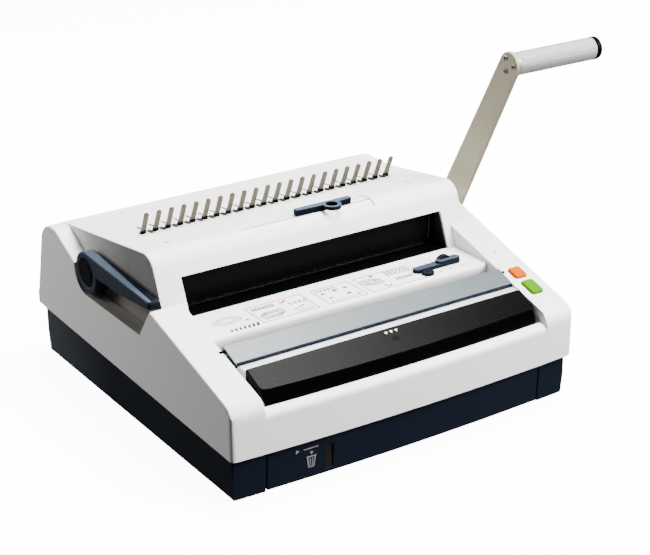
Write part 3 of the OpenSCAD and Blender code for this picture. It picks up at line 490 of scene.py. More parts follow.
def digits(text, u, v, height):
    """Plain numbers of a scale."""
    bpy.ops.object.text_add(location=(u * MM, v * MM, 0))
    bpy.context.object.data.body = text
    bpy.context.object.data.size = height * 1.4 * MM
    bpy.context.object.data.align_x = "CENTER"
    bpy.context.object.data.align_y = "CENTER"
    bpy.ops.object.convert(target="MESH")
    return [bpy.context.object]


def set_marks(marks, name, origin, tilt, thickness=0.16, turn=0.0):
    """Joins marks into one thin piece and sets it on its plane, tilted back and turned by angles."""
    bpy.ops.object.select_all(action="DESELECT")
    for mark in marks:
        mark.select_set(True)
    bpy.context.view_layer.objects.active = marks[0]
    bpy.ops.object.transform_apply(location=True, rotation=True, scale=True)
    if len(marks) > 1:
        bpy.ops.object.join()
    piece = bpy.context.object
    piece.name = name
    bpy.ops.object.mode_set(mode="EDIT")
    bpy.ops.mesh.select_all(action="SELECT")
    bpy.ops.mesh.normals_make_consistent(inside=False)
    bpy.ops.object.mode_set(mode="OBJECT")
    for face in piece.data.polygons:
        if face.normal.z < 0:
            face.flip()
    thick = piece.modifiers.new("thickness", "SOLIDIFY")
    thick.thickness = thickness * MM
    thick.offset = 0.0
    bpy.ops.object.modifier_apply(modifier=thick.name)
    piece.rotation_euler = (math.radians(tilt), 0, math.radians(turn))
    piece.location = origin
    bpy.ops.object.transform_apply(location=True, rotation=True, scale=True)
    return piece


def on_press(y):
    """Point on the press bar's sloping top, at the middle of its marks."""
    return place(-1.6, y, PRESS_Z + (y - PRESS_Y) * PRESS_RISE / PRESS_RUN)


# Sizes and colours that a user would change


class ShellSettings(bpy.types.PropertyGroup):
    """Casing of the machine."""

    white: bpy.props.FloatVectorProperty(
        name="Cover colour", description="Colour of the white top cover", subtype="COLOR",
        size=3, default=(0.86, 0.855, 0.84), min=0, max=1)
    navy: bpy.props.FloatVectorProperty(
        name="Base colour", description="Colour of the base and the chip drawer", subtype="COLOR",
        size=3, default=(0.0042, 0.0064, 0.0132), min=0, max=1)
    outer_round: bpy.props.FloatProperty(
        name="Outer rounding", description="Radius along the cover's outer edges", unit="LENGTH",
        default=1.8 * MM, min=0.2 * MM, max=2.5 * MM)
    inner_round: bpy.props.FloatProperty(
        name="Inner rounding", description="Radius along the trough's edges", unit="LENGTH",
        default=0.9 * MM, min=0.2 * MM, max=1.5 * MM)
    foot_round: bpy.props.FloatProperty(
        name="Foot rounding", description="Radius along the cover's lower edge", unit="LENGTH",
        default=0.6 * MM, min=0.2 * MM, max=1.0 * MM)
    base_round: bpy.props.FloatProperty(
        name="Base rounding", description="Radius along the edges of the base", unit="LENGTH",
        default=0.8 * MM, min=0.2 * MM, max=1.2 * MM)


class ControlSettings(bpy.types.PropertyGroup):
    """Parts that a hand moves."""

    blue: bpy.props.FloatVectorProperty(
        name="Control colour", description="Colour of the sliders", subtype="COLOR",
        size=3, default=(0.0034, 0.0053, 0.0102), min=0, max=1)
    # The sliders' tops get this colour, lighter than their sides, as painted light
    lever: bpy.props.FloatVectorProperty(
        name="Lever colour", description="Colour of the lever and of the sliders' tops", subtype="COLOR",
        size=3, default=(0.029, 0.041, 0.058), min=0, max=1)
    black: bpy.props.FloatVectorProperty(
        name="Press bar colour", description="Colour of the press bar", subtype="COLOR",
        size=3, default=(0.00035, 0.00035, 0.00035), min=0, max=1)
    orange: bpy.props.FloatVectorProperty(
        name="Comb button colour", description="Colour of the rear button", subtype="COLOR",
        size=3, default=(0.46, 0.070, 0.0), min=0, max=1)
    green: bpy.props.FloatVectorProperty(
        name="Wire button colour", description="Colour of the front button", subtype="COLOR",
        size=3, default=(0.060, 0.185, 0.0), min=0, max=1)
    nickel: bpy.props.FloatVectorProperty(
        name="Arm colour", description="Colour of the handle's plated arm", subtype="COLOR",
        size=3, default=(0.31, 0.285, 0.19), min=0, max=1)
    edge: bpy.props.FloatProperty(
        name="Control rounding", description="Radius along the edges of the controls", unit="LENGTH",
        default=0.8 * MM, min=0.2 * MM, max=1.2 * MM)


class StageSettings(bpy.types.PropertyGroup):
    """Studio around the machine."""

    floor: bpy.props.FloatVectorProperty(
        name="Floor colour", description="Colour of the pale floor", subtype="COLOR",
        size=3, default=(0.93, 0.93, 0.93), min=0, max=1)
    glow: bpy.props.FloatProperty(
        name="Floor glow", description="Light that shines through the floor's paper", default=11.0, min=0)
    key: bpy.props.FloatProperty(
        name="Key light", description="Power of the soft light from the front right", unit="POWER",
        default=240.0, min=0)
    top: bpy.props.FloatProperty(
        name="Top light", description="Power of the soft light overhead", unit="POWER",
        default=175.0, min=0)
    side: bpy.props.FloatProperty(
        name="Side light", description="Power of the weak light from the back left", unit="POWER",
        default=15.0, min=0)
    bounce: bpy.props.FloatProperty(
        name="Bounce light", description="Power of the weak light from below the floor", unit="POWER",
        default=32.0, min=0)
    sky: bpy.props.FloatProperty(
        name="Surround", description="Strength of the even light all round", default=0.085, min=0)
    lens: bpy.props.FloatProperty(
        name="Lens", description="Focal length of the camera", subtype="DISTANCE_CAMERA",
        default=96.6, min=20, max=300)


# Casing


class BINDER_OT_cover(bpy.types.Operator):
    """Model the white top cover with its moulded edges"""

    bl_idname = "binder.cover"
    bl_label = "Top cover"

    def execute(self, context):
        sizes = context.scene.binder_shell
        cover = start_from("top_cover", "cover_shell")

        def outer(m):
            shaft_hole = m.x > 0 and abs(m.y - SHAFT_Y) < 13 and abs(m.z - SHAFT_Z) < 13
            recess = m.x < 0 and 150 < m.y < 305 and m.z < 138
            return near(m.x, COVER_HX, 0.6) and m.z > 84 and not shaft_hole and not recess

        def foot(m):
            height = m.z - FOOT_Z - m.y * math.tan(math.radians(FOOT_TILT))
            return abs(height) < 0.05 and (near(m.x, COVER_HX, 5.1) or m.y < 0)

        def slot(m, normal):
            along, height = top_mm(m)
            return abs(m.x) < 156 and -7 < along < 30 and -2.95 < height < -0.05

        def hump_wall(m, normal):
            return normal.x < -0.9 and abs(m.x + HUMP_HX) < 0.5

        round_edges(cover, sizes.outer_round, 3, outer)
        round_edges(cover, sizes.outer_round, 3, lambda m: near(m.x, HUMP_HX) and m.z > 158)
        round_edges(cover, sizes.inner_round, 2,
                    lambda m: near(m.x, TROUGH_HX) and m.y < LEDGE_Y and m.z > 99)
        round_edges(cover, sizes.foot_round, 2, foot)
        cut_faces(cover, hump_wall, place(-HUMP_HX, 142, 143), (0, 0.03, 1))
        smooth(cover)
        white = moulded("white_shell", sizes.white, 0.38, 0.5, 1500, 0.03 * MM, 0.012)
        dress(cover, "casing", "white_shell", white, "top_cover")
        # The slots' walls are painted near black as painted shade
        slot_shade_paint = moulded("slot_painted_shade", (0.004, 0.004, 0.004), 0.5, 0.65, 900, 0.03 * MM, 0.1,
                         Specular_IOR_Level=0.1)
        put_finish(cover, slot_shade_paint, slot)
        # The recess under the lever, its floor and lower wall, gets dark grey as painted shade
        dull = moulded("recess_painted_shade", (0.20, 0.19, 0.178), 0.55, 0.7, 900, 0.04 * MM, 0.05,
                       Specular_IOR_Level=0.2)
        put_finish(cover, dull, lambda m, n: -202 < m.x < -184 and 142 < m.y < 303 and m.z < 136)
        shaded = faded("recess_shade", (0.24, 0.235, 0.23), (0.60, 0.595, 0.585), "Y", 215, 350)
        put_finish(cover, shaded, lambda m, n: hump_wall(m, n) and m.z > 136)
        # The ledge's front lip gets painted shade, darker towards the flap
        lip = faded("ledge_lip_painted_shade", (0.13, 0.13, 0.13), sizes.white, "Z", 110, 121.5)
        put_finish(cover, lip,
                   lambda m, n: abs(m.x) < TROUGH_HX and LEDGE_Y - 0.1 < m.y < 92 and n.y < -0.5)
        return {"FINISHED"}


class BINDER_OT_base(bpy.types.Operator):
    """Model the navy base, its chip drawer and what is screwed under it"""

    bl_idname = "binder.base"
    bl_label = "Base and drawer"

    def execute(self, context):
        sizes = context.scene.binder_shell
        navy = moulded("navy_base", sizes.navy, 0.3, 0.44, 1300, 0.03 * MM, 0.08, Specular_IOR_Level=0.25)
        base = start_from("base_tray", "base_shell")
        round_edges(base, sizes.base_round, 3, lambda m: m.z < 2.0 and (abs(m.x) > 195 or m.y > 383))
        smooth(base)
        dress(base, "casing", "navy_base", navy, "base_tray")
        # The base's left side is painted lighter towards the back as a painted sheen
        sheen = faded("navy_painted_sheen", sizes.navy, (0.060, 0.066, 0.080), "Y", 240, 395)
        put_finish(base, sheen, lambda m, n: n.x < -0.9 and m.x < -190)
        drawer = start_from("chip_drawer", "drawer_box")
        round_edges(drawer, sizes.base_round, 3, lambda m: near(m.x, DRAWER_HX, 0.06) and m.y < 2)
        smooth(drawer)
        dress(drawer, "chip_drawer", "navy_base", navy, "chip_drawer")
        smoked = clear_sheet("window_tint", (0.010, 0.008, 0.007), 0.1, 0.12, 0.2)
        finish_nodes(smoked, "drawer_window")
        rubber = moulded("rubber", (0.012, 0.012, 0.012), 0.75, 0.9, 900, 0.08 * MM, 0.1)
        finish_nodes(rubber, "rubber_feet")
        return {"FINISHED"}


class BINDER_OT_throat(bpy.types.Operator):
    """Model the black paper throat with its worn slot edge"""

    bl_idname = "binder.throat"
    bl_label = "Paper throat"

    def execute(self, context):
        black = moulded("deep_black", (0.0006, 0.0006, 0.0006), 0.35, 0.5, 1100, 0.03 * MM, 0.1,
                        Specular_IOR_Level=0.025)
        finish_nodes(black, "carriage_guides", "stop_clip", "size_clip", "grip_cap")
        edge_y, edge_z = 168.0, 125.7
        liner = start_from("throat_liner", "throat_lining")
        round_edges(liner, 0.5 * MM, 2,
                    lambda m: abs(m.y - edge_y) < 0.05 and abs(m.z - edge_z) < 0.05)
        smooth(liner)
        dress(liner, "casing", "black_plastic", black, "throat_liner")
        worn = metal("worn_edge", (0.090, 0.060, 0.024), 0.35, 0.5, (0.05, 1, 1), 0.01 * MM)
        put_finish(liner, worn, lambda m, n: (
            abs(m.y - edge_y - 0.2) < 0.6 and abs(m.z - edge_z - 0.2) < 0.6 and abs(m.x) < 157))
        # The liner's right end wall is painted lighter than the rest of the black liner, as painted light
        end = moulded("liner_end_painted_light", (0.016, 0.016, 0.016), 0.4, 0.5, 1100, 0.03 * MM, 0.1,
                      Specular_IOR_Level=0.1)
        put_finish(liner, end, lambda m, n: near(m.x, THROAT_HX, 0.1) and n.x < -0.9)
        rib = slab("throat_rib", (2.0, 1.6, 24), (148.4, 167.3, 140), 0, 0.3)
        dark = moulded("rib_black", (0.006, 0.006, 0.006), 0.5, 0.6, 1100, 0.03 * MM, 0.1,
                       Specular_IOR_Level=0.05)
        dress(rib, "casing", "black_plastic", dark)
        return {"FINISHED"}


# Comb opener and handle


class BINDER_OT_comb_row(bpy.types.Operator):
    """Model the row of comb fingers and finish its hooks"""

    bl_idname = "binder.comb_row"
    bl_label = "Comb row"

    def execute(self, context):
        steel = metal("finger_steel", (0.082, 0.070, 0.051), 0.3, 0.5, (1, 1, 0.04), 0.01 * MM, 0.12)
        fingers = start_from("comb_fingers", "finger_row")
        widen = 0.4
        for side in (-1, 1):
            shift_faces(fingers, lambda m, n: n.x * side > 0.9, widen * side, 0, 0)
        round_edges(fingers, 0.25 * MM, 2, lambda m: m.z > 176)
        smooth(fingers)
        dress(fingers, "casing", "finger_steel", steel, "comb_fingers")
        # Black blocks at the fingers' feet are painted shade for the shadowed holes there
        foot = slab("finger_foot_painted_shade", (5.4, 3.8, 5.0), (-150.02, 248.5, 174.85), 23.5, 0.5)
        row([foot], FINGERS, PITCH, 0, 0)
        dress(foot, "casing", "black_plastic", bpy.data.materials["deep_black"])
        tool = metal("tool_steel", (0.36, 0.35, 0.33), 0.28, 0.42, (1, 0.05, 1), 0.01 * MM)
        finish_nodes(tool, "punches", "die_plate", "stripper_plate")
        # The hooks are steel painted dark as painted shade, so they read as part of the shaded slots
        hook_shade_paint = metal("hook_steel", (0.045, 0.044, 0.042), 0.35, 0.5, (1, 0.05, 1), 0.01 * MM)
        finish_nodes(hook_shade_paint, "comb_hooks")
        oxide = metal("finger_oxide", (0.012, 0.012, 0.012), 0.5, 0.65, (1, 0.05, 1), 0.01 * MM)
        finish_nodes(oxide, "finger_plate")
        return {"FINISHED"}


class BINDER_OT_lever(bpy.types.Operator):
    """Model the comb lever with its rounded edges, a painted highlight along its top's outer edge, painted
    shade behind it, and its hub cap
    """

    bl_idname = "binder.lever"
    bl_label = "Comb lever"

    def execute(self, context):
        controls = context.scene.binder_controls
        blue = satin("lever_blue", controls.lever, 0.26, 0.34, 0.35)
        lever = start_from("comb_lever", "lever_arm", ONE_FACE)
        low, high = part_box("comb_lever")
        outer = casing_mm(low).x
        inner = casing_mm(high).x
        # The painted highlight along the top's outer edge is narrow at the lever's tip and spreads towards
        # its hub
        tip_y = 150
        tip_x = outer + 4.4
        spread = 0.05

        def behind_highlight(m):
            return m.x - tip_x - spread * (m.y - tip_y)

        round_edges(lever, 2.2 * MM, 2, lambda m: abs(m.x - outer) < 0.05 or abs(m.x - inner) < 0.05)
        cut_faces(lever, lambda m, n: n.z > 0.2, place(tip_x, tip_y, 0), (1, -spread, 0))
        smooth(lever)
        dress(lever, "comb_lever", "blue_control", blue, "comb_lever")
        # Painted shade on the top behind the highlight and on the tip's end
        deep = satin("lever_painted_shade", shade(controls.blue, 0.8), 0.35, 0.45, 0.025)
        put_finish(lever, deep,
                   lambda m, n: behind_highlight(m) > 0 and n.x > -0.5 or m.y < tip_y and n.y < -0.3)
        # Painted highlight on the top's outer strip
        bright = satin("lever_painted_highlight", shade(controls.lever, 1.45), 0.26, 0.34, 0.35)
        put_finish(lever, bright, lambda m, n: behind_highlight(m) < 0 and m.y > tip_y and n.z > 0.2)
        hub = satin("hub_blue", controls.blue, 0.35, 0.45, 0.1)
        finish_nodes(hub, "lever_cap")
        return {"FINISHED"}


class BINDER_OT_handle(bpy.types.Operator):
    """Model the pull handle: plated arm, ribbed grip and screw heads; its end cap is finished with the
    throat
    """

    bl_idname = "binder.handle"
    bl_label = "Pull handle"

    def execute(self, context):
        controls = context.scene.binder_controls
        nickel = metal("arm_steel", controls.nickel, 0.5, 0.6, (1, 1, 0.06), 0.01 * MM, 0.03, 0.2)
        arm = start_from("handle_arm", "pull_arm")
        round_edges(arm, 0.6 * MM, 2, lambda m: True, 60)
        smooth(arm)
        dress(arm, "punch_handle", "arm_steel", nickel, "handle_arm")
        grip = moulded("grip_white", (0.27, 0.27, 0.265), 0.34, 0.42, 900, 0.02 * MM, 0.02,
                       Specular_IOR_Level=0.7)
        sleeve = start_from("handle_grip", "grip_sleeve")
        round_edges(sleeve, 0.8 * MM, 2,
                    lambda m: m.x > 311 and (m.y - GRIP_Y) ** 2 + (m.z - GRIP_Z) ** 2 > 110, 60)
        smooth(sleeve, 50)
        dress(sleeve, "punch_handle", "grip_white", grip, "handle_grip")
        steel = metal("bright_steel", (0.3, 0.3, 0.3), 0.3, 0.45, (1, 1, 1), 0.01 * MM)
        finish_nodes(steel, "arm_nut", "grip_stud")
        heads = start_from("grip_screws", "screw_heads")
        round_edges(heads, 0.4 * MM, 2, lambda m: m.x < 203.4)
        smooth(heads)
        dress(heads, "punch_handle", "bright_steel", steel, "grip_screws")
        # The screws' cross recesses are black bars, painted shade in place of the hollows
        groove = (0.2, 3.8, 0.8)
        head = (203.28, 118.18, 329.66)
        cross = joined("screw_cross", slab("cross_a", groove, head, 20), slab("cross_b", groove, head, 110))
        others = [twin(cross, 0, -12.31, -6.35), twin(cross, 0, -0.65, -13.84)]
        cross = joined("screw_cross_painted_shade", cross, *others)
        dress(cross, "punch_handle", "bright_steel", bpy.data.materials["deep_black"])
        return {"FINISHED"}


# Sliders, closer and buttons


class BINDER_OT_sliders(bpy.types.Operator):
    """Model the stop slider on the ridge and the size slide on the ledge"""

    bl_idname = "binder.sliders"
    bl_label = "Sliders"

    def execute(self, context):
        controls = context.scene.binder_controls
        blue = satin("blue_control", controls.blue, 0.3, 0.4, 0.03)
        stop = start_from("stop_slider", "stop_block", ONE_FACE)
        high = casing_mm(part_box("stop_slider")[1]).z
        thickness = 7
        front = max(casing_mm(v.co).y for v in stop.data.vertices) - thickness
        bore(stop, 6.15, 4.5, (RING_X, RING_Y, 188.65))
        round_edges(stop, 1.8 * MM, 1, lambda m: m.z > high - 0.05 and abs(m.y - front) < 0.05, 50)
        round_edges(stop, controls.edge, 2, lambda m: m.z > high - 2.5, 50)
        smooth(stop)
        dress(stop, "stop_slider", "blue_control", blue, "stop_slider")
        # The stop's upward faces get a lighter blue as painted light
        pale = satin("blue_painted_light", shade(controls.lever, 1.7), 0.4, 0.5, 0.1)
        put_finish(stop, pale, lambda m, n: n.z > 0.5)
        # The ring's hole gets a darker blue as painted shade
        ring_shade_paint = satin("blue_ring_painted_shade", shade(controls.blue, 0.5), 0.4, 0.5, 0.03)
        put_finish(stop, ring_shade_paint,
                   lambda m, n: math.hypot(m.x - RING_X, m.y - RING_Y) < 6.4 and m.z < high - 1)
        size = start_from("size_slide", "size_block", ONE_FACE)
        round_edges(size, controls.edge, 2, lambda m: m.z > LEDGE_Z + 1.5, 50)
        smooth(size)
        dress(size, "size_slide", "blue_control", blue, "size_slide")
        # The size slide's tops get a lighter blue as painted light
        size_top_light_paint = satin("blue_size_painted_light", shade(controls.lever, 0.9), 0.4, 0.5, 0.1)
        put_finish(size, size_top_light_paint, lambda m, n: n.z > 0.8 and 126 < m.z < 130)
        return {"FINISHED"}


class BINDER_OT_closer(bpy.types.Operator):
    """Model the wire closer: press bar, anvil strip and clear flap"""

    bl_idname = "binder.closer"
    bl_label = "Wire closer"

    def execute(self, context):
        controls = context.scene.binder_controls
        black = moulded("press_black", controls.black, 0.26, 0.34, 1200, 0.02 * MM, 0.1,
                        Specular_IOR_Level=0.035)
        press = start_from("press_bar", "press_block")
        round_edges(press, 4 * MM, 4,
                    lambda m: near(m.x, PRESS_HX, 0.06) and m.y < 9 and m.z < 104, 40)
        round_edges(press, 1.4 * MM, 3, lambda m: m.z > 102.5 and (m.y > 9 or abs(m.x) > 158.5))
        smooth(press)
        dress(press, "press_bar", "press_black", black, "press_bar")
        anvil = metal("anvil_metal", (0.93, 0.935, 0.94), 0.45, 0.55, (0.05, 1, 1), 0.01 * MM)
        finish_nodes(anvil, "closer_anvil")
        finish_nodes(bpy.data.materials["deep_black"], "flap_pins")
        tint = clear_sheet("flap_tint", (0.094, 0.113, 0.121), 0.12, 0.273, 0.277)
        edge = clear_sheet("flap_edge", (0.005, 0.010, 0.017), 0.1, 0.15, 0.22)
        flap = start_from("closer_flap", "clear_flap")
        smooth(flap)
        dress(flap, "closer_flap", "flap_tint", tint, "closer_flap")
        put_finish(flap, edge, lambda m, n: abs(n.z) < 0.5)
        rib = slab("flap_rib", (1.7, 17, 6), (-164.1, 53.53, 115.12), FLAP_TILT, 0.3)
        rim = slab("flap_rim", (329.8, 1.7, 3.3), (0, 45.77, 113.87), FLAP_TILT, 0.3)
        ribs = joined("flap_ribs", rib, twin(rib, 328.2, 0, 0), rim)
        frame_blue = satin("flap_frame", (0.0035, 0.0070, 0.0140), 0.5, 0.6, 0.04)
        dress(ribs, "closer_flap", "flap_tint", frame_blue)
        return {"FINISHED"}


class BINDER_OT_buttons(bpy.types.Operator):
    """Model the two soft push buttons"""

    bl_idname = "binder.buttons"
    bl_label = "Buttons"

    def execute(self, context):
        controls = context.scene.binder_controls
        slope = math.tan(math.radians(RAIL_TILT))
        for node, name, colour in (("comb_button", "button_orange", controls.orange),
                                   ("wire_button", "button_green", controls.green)):
            button = start_from(node, node + "_cap", ONE_FACE)
            corners = [casing_mm(v.co) for v in button.data.vertices]
            top = max(m.z - m.y * slope for m in corners)
            round_edges(button, 1.9 * MM, 4, lambda m: m.z - m.y * slope > top - 0.3, 50)
            smooth(button, 50)
            soft = moulded(name, colour, 0.42, 0.52, 1000, 0.02 * MM, 0.04, Specular_IOR_Level=0.01)
            dress(button, node, name, soft, node)
        return {"FINISHED"}


# Works inside the casing


class BINDER_OT_works(bpy.types.Operator):
    """Finish the frames, shafts, springs and screws inside"""

    bl_idname = "binder.works"
    bl_label = "Inner works"

    def execute(self, context):
        sheet = metal("sheet_steel", (0.42, 0.43, 0.44), 0.38, 0.55, (1, 0.1, 1), 0.01 * MM)
        finish_nodes(sheet, "left_frame", "right_frame", "tie_bars", "die_spacers", "punch_bar",
                     "cam_yokes", "lever_cranks", "hook_carriage", "button_bracket", "punch_cams")
        bright = metal("shaft_steel", (0.6, 0.6, 0.6), 0.16, 0.28, (0.05, 1, 1), 0.005 * MM)
        finish_nodes(bright, "guide_posts", "punch_springs", "comb_button_spring", "wire_button_spring",
                     "press_springs", "punch_shaft", "lever_shaft", "base_screws", "frame_screws")
        bronze = metal("bronze", (0.45, 0.27, 0.12), 0.3, 0.45, (1, 1, 1), 0.01 * MM)
        finish_nodes(bronze, "shaft_bushes", "lever_bushes")
        return {"FINISHED"}


# Printed marks


class BINDER_OT_marks(bpy.types.Operator):
    """Print the scales and plain pictograms"""

    bl_idname = "binder.marks"
    bl_label = "Printed marks"

    def execute(self, context):
        grey = ink("grey_ink", (0.018, 0.018, 0.020))
        dark = ink("dark_ink", (0.009, 0.009, 0.011))
        red = ink("red_ink", (0.40, 0.025, 0.018))
        pale = ink("white_ink", (0.80, 0.80, 0.80))
        dull = ink("pale_ink", (0.20, 0.20, 0.21))
        ledge = place(0, 0, LEDGE_Z)

        fine = []
        for u, width in ((-71, 64), (-3.5, 45), (59.5, 67)):
            fine += panel(u, 113.5, width, 37, 1.05)
        for u, v, length, count, step in (
                (-58, 119.5, 4.2, 4, 5.6), (-58, 116.3, 3.2, 4, 5.0), (-21, 128, 3.2, 5, 4.8),
                (-21, 125, 2.4, 6, 4.2), (-20, 99, 2.4, 7, 4.6), (63, 129, 3.6, 6, 5.0),
                (63, 126, 2.8, 7, 4.3), (63, 123, 3.8, 6, 5.1), (63, 120, 2.6, 7, 4.2)):
            fine += row(bar(u, v, length, 1.9), count, step, 0, 0)
        for k in range(3):
            fine += panel(-88 + 3 * k, 105 + 2.2 * k, 20, 9, 1.2)
            fine += panel(36 + 3 * k, 119 - 2.6 * k, 16, 9, 1.2)
        fine += row(ring(-97, 126, 2.5, 1.2), 5, 5.2, 0, 0) + bar(-86.6, 123.2, 26, 1.2)
        fine += row(ring(66, 110, 2.4, 1.2), 4, 5.4, 0, 0) + bar(74, 107.2, 22, 1.2)
        fine += bar(-57, 106, 14, 1.2, 20) + disc(-49.8, 108.6, 2.4, 3, 1.0, -70)
        fine += row(bar(-60, 99.5, 1.1, 4.6), 6, 3.2, 0, 0)
        for radius in (15, 11.5, 8):
            fine += ring(-131, 118, radius, 1.1, 0.55)
        prints = set_marks(fine, "ledge_lines", ledge, 0)
        dress(prints, "casing", "white_shell", grey)

        strong = []
        for k in range(7):
            strong += bar(-138.5 + 4.9 * k, 96.2, 2.0 + 0.12 * k, 5.4 + 0.35 * k, -24)
        for u, v, width, height in (
                (-19, 119, 4.8, 2.8), (-4, 120.5, 5.8, 3.2), (9, 121, 4.8, 2.8), (-17, 107, 4.4, 2.8),
                (5, 107.5, 5.4, 3.2), (13, 101, 4.2, 2.7), (46, 128.5, 5.4, 2.9), (-113, 109.5, 3.2, 2.6)):
            strong += bar(u, v, width, height, 5)
        strong += row(bar(97, 124.3, 1.0, 2.8), 4, 8, 0, 0)
        strong += row(bar(113.5, 99.3, 5.4, 1.2), 3, 13.8, 0, 0)
        for text, u, v in (("1", 97, 129), ("2", 105, 129), ("3", 113, 129), ("4", 121, 129),
                           ("5", 152.5, 124), ("6", 158, 111)):
            strong += digits(text, u, v, 3.2)
        scale = set_marks(strong, "ledge_scale", ledge, 0, 0.2)
        dress(scale, "casing", "white_shell", dark)

        warm = bar(-61.5, 126.5, 8.5, 2.3, 38) + bar(-65.6, 125.5, 4.4, 2.3, -48)
        warm += bar(47, 102, 2.0, 6.4) + bar(50.8, 99.6, 6.4, 2.0, 30) + disc(148, 111, 1.2)
        alert = set_marks(warm, "ledge_accents", ledge, 0, 0.22)
        dress(alert, "casing", "white_shell", red)

        # The longest seam runs on over the ridge, a round edge with its own middle and radius
        seam_x, ridge_y, ridge_z, ridge_r = 80, 182.36, 163.66, 19.85
        lines = bar(-151.5, -51.6, 1.7, 12) + bar(146.5, -45.5, 1.5, 12) + bar(seam_x, -56.4, 2.0, 15.7)
        seams = [set_marks(lines, "cover_seams", place(0, TOP_Y, TOP_Z), -TOP_TILT, 0.3)]
        for turn in (89.15, 104.8, 120.3):
            along, up = math.cos(math.radians(turn)), math.sin(math.radians(turn))
            middle = place(seam_x, ridge_y + ridge_r * along, ridge_z + ridge_r * up)
            seams.append(set_marks(bar(0, 0, 2.0, 5.6), "cover_seam", middle, turn - 90, 0.5))
        seams.append(set_marks(disc(0, 0, 1.3), "rail_dot", place(183.8, 97.7, 128.43), RAIL_TILT, 0.3))
        dress(joined("cover_seams", *seams), "casing", "white_shell", dull)

        bin_marks = bar(7, 8, 16, 1.0) + disc(-8, 8, 2.6, 3, 1.0, -90) + disc(8, 3.0, 2.2, 3, 1.0, 180)
        bin_marks += bar(8, -1.2, 10.5, 1.4) + bar(8, -12.6, 6.2, 1.3) + bar(4.4, -7, 1.3, 10.6, 7)
        bin_marks += bar(11.6, -7, 1.3, 10.6, -7) + row(bar(6.7, -7, 1.0, 8), 2, 2.6, 0, 0)
        level = set_marks(bin_marks, "drawer_marks", place(-123, -5.12, 27), 92.98, 0.2, -2.05)
        dress(level, "chip_drawer", "navy_base", dull)

        arrows = []
        for k in (-1, 0, 1):
            arrows += disc(6 * k, 0, 2.2, 3, 1.0, 180)
        tilt = math.degrees(math.atan2(PRESS_RISE, PRESS_RUN))
        press = set_marks(arrows, "press_marks", on_press(26.6), tilt)
        dress(press, "press_bar", "press_black", pale)
        dimple = set_marks(disc(0, 0, 4.2, 24, 0.6), "press_dimple", on_press(18.0), tilt)
        dress(dimple, "press_bar", "press_black", bpy.data.materials["deep_black"])
        return {"FINISHED"}


# Studio


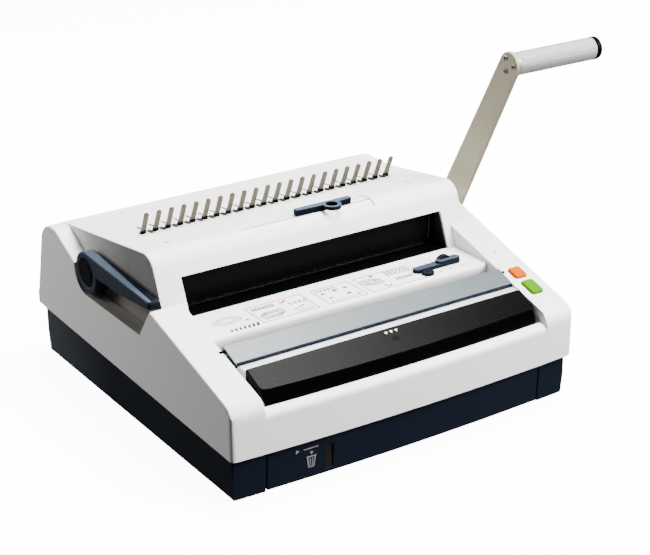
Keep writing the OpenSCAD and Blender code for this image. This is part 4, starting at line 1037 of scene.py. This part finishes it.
class BINDER_OT_stage(bpy.types.Operator):
    """Set the pale floor, the soft lights and the camera"""

    bl_idname = "binder.stage"
    bl_label = "Studio"

    def execute(self, context):
        stage = context.scene.binder_stage
        bpy.ops.object.select_all(action="DESELECT")
        bpy.ops.mesh.primitive_plane_add(size=14, location=(0, 2, 0))
        floor = context.object
        floor.name = "pale_floor"
        bpy.ops.object.transform_apply(location=True)
        floor.data.materials.append(moulded(
            "floor_paper", stage.floor, 0.8, 0.95, 60, 0.02 * MM, 0.005,
            Emission_Color=(1, 1, 1, 1), Emission_Strength=stage.glow))
        floor.visible_diffuse = False
        floor.visible_glossy = False
        floor.visible_shadow = False

        world = bpy.data.worlds.new("studio_surround")
        world.use_nodes = True
        world.node_tree.nodes["Background"].inputs["Color"].default_value = (1, 1, 1, 1)
        world.node_tree.nodes["Background"].inputs["Strength"].default_value = stage.sky
        context.scene.world = world

        aim = Vector((0, 0, 0.1))
        for name, power, size, spot in (
                ("key_light", stage.key, 1.4, (1.3, -1.5, 1.7)),
                ("top_light", stage.top, 1.1, (0.5, 0.3, 2.2)),
                ("side_light", stage.side, 0.6, (-0.9, 1.05, 0.55)),
                ("bounce_light", stage.bounce, 1.6, (1.1, 0.5, -1.0))):
            bpy.ops.object.light_add(type="AREA", location=spot)
            light = context.object
            light.name = name
            light.data.energy = power
            light.data.size = size
            # A light below the floor only brightens undersides and isn't mirrored
            light.visible_glossy = spot[2] > 0
            light.rotation_euler = (aim - Vector(spot)).to_track_quat("-Z", "Y").to_euler()

        # The camera stands at the front left and looks down and to the right by angles in degrees
        down, right = 23.660, 33.847
        bpy.ops.object.camera_add(
            location=(-0.96265, -1.39535, 0.8370),
            rotation=(math.radians(90 - down), 0, math.radians(-right)))
        camera = context.object
        camera.data.lens = stage.lens
        camera.data.sensor_width = 36
        camera.data.sensor_fit = "HORIZONTAL"
        camera.data.clip_end = 50
        context.scene.camera = camera
        return {"FINISHED"}


STEPS = (BINDER_OT_cover, BINDER_OT_base, BINDER_OT_throat, BINDER_OT_comb_row, BINDER_OT_lever,
         BINDER_OT_handle, BINDER_OT_sliders, BINDER_OT_closer, BINDER_OT_buttons, BINDER_OT_works,
         BINDER_OT_marks, BINDER_OT_stage)


class BINDER_PT_sidebar(bpy.types.Panel):
    """Lists the settings and the steps"""

    bl_idname = "BINDER_PT_sidebar"
    bl_label = "Binding machine"
    bl_space_type = "VIEW_3D"
    bl_region_type = "UI"
    bl_category = "Binder"

    def draw(self, context):
        scene = context.scene
        for settings in (scene.binder_shell, scene.binder_controls, scene.binder_stage):
            box = self.layout.box()
            for name in settings.__annotations__:
                box.prop(settings, name)
        for step in STEPS:
            self.layout.operator(step.bl_idname)


CLASSES = (ShellSettings, ControlSettings, StageSettings, *STEPS, BINDER_PT_sidebar)


def register():
    """Registers the classes and the scene's settings."""
    for cls in CLASSES:
        bpy.utils.register_class(cls)
    bpy.types.Scene.binder_shell = bpy.props.PointerProperty(type=ShellSettings)
    bpy.types.Scene.binder_controls = bpy.props.PointerProperty(type=ControlSettings)
    bpy.types.Scene.binder_stage = bpy.props.PointerProperty(type=StageSettings)


def unregister():
    """Takes the settings and the classes away again."""
    del bpy.types.Scene.binder_stage
    del bpy.types.Scene.binder_controls
    del bpy.types.Scene.binder_shell
    for cls in reversed(CLASSES):
        bpy.utils.unregister_class(cls)


def main():
    """Builds the whole machine."""
    register()
    bpy.ops.object.select_all(action="DESELECT")
    bpy.ops.binder.cover()
    bpy.ops.binder.base()
    bpy.ops.binder.throat()
    bpy.ops.binder.comb_row()
    bpy.ops.binder.lever()
    bpy.ops.binder.handle()
    bpy.ops.binder.sliders()
    bpy.ops.binder.closer()
    bpy.ops.binder.buttons()
    bpy.ops.binder.works()
    bpy.ops.binder.marks()
    bpy.ops.binder.stage()


if __name__ == "__main__":
    main()
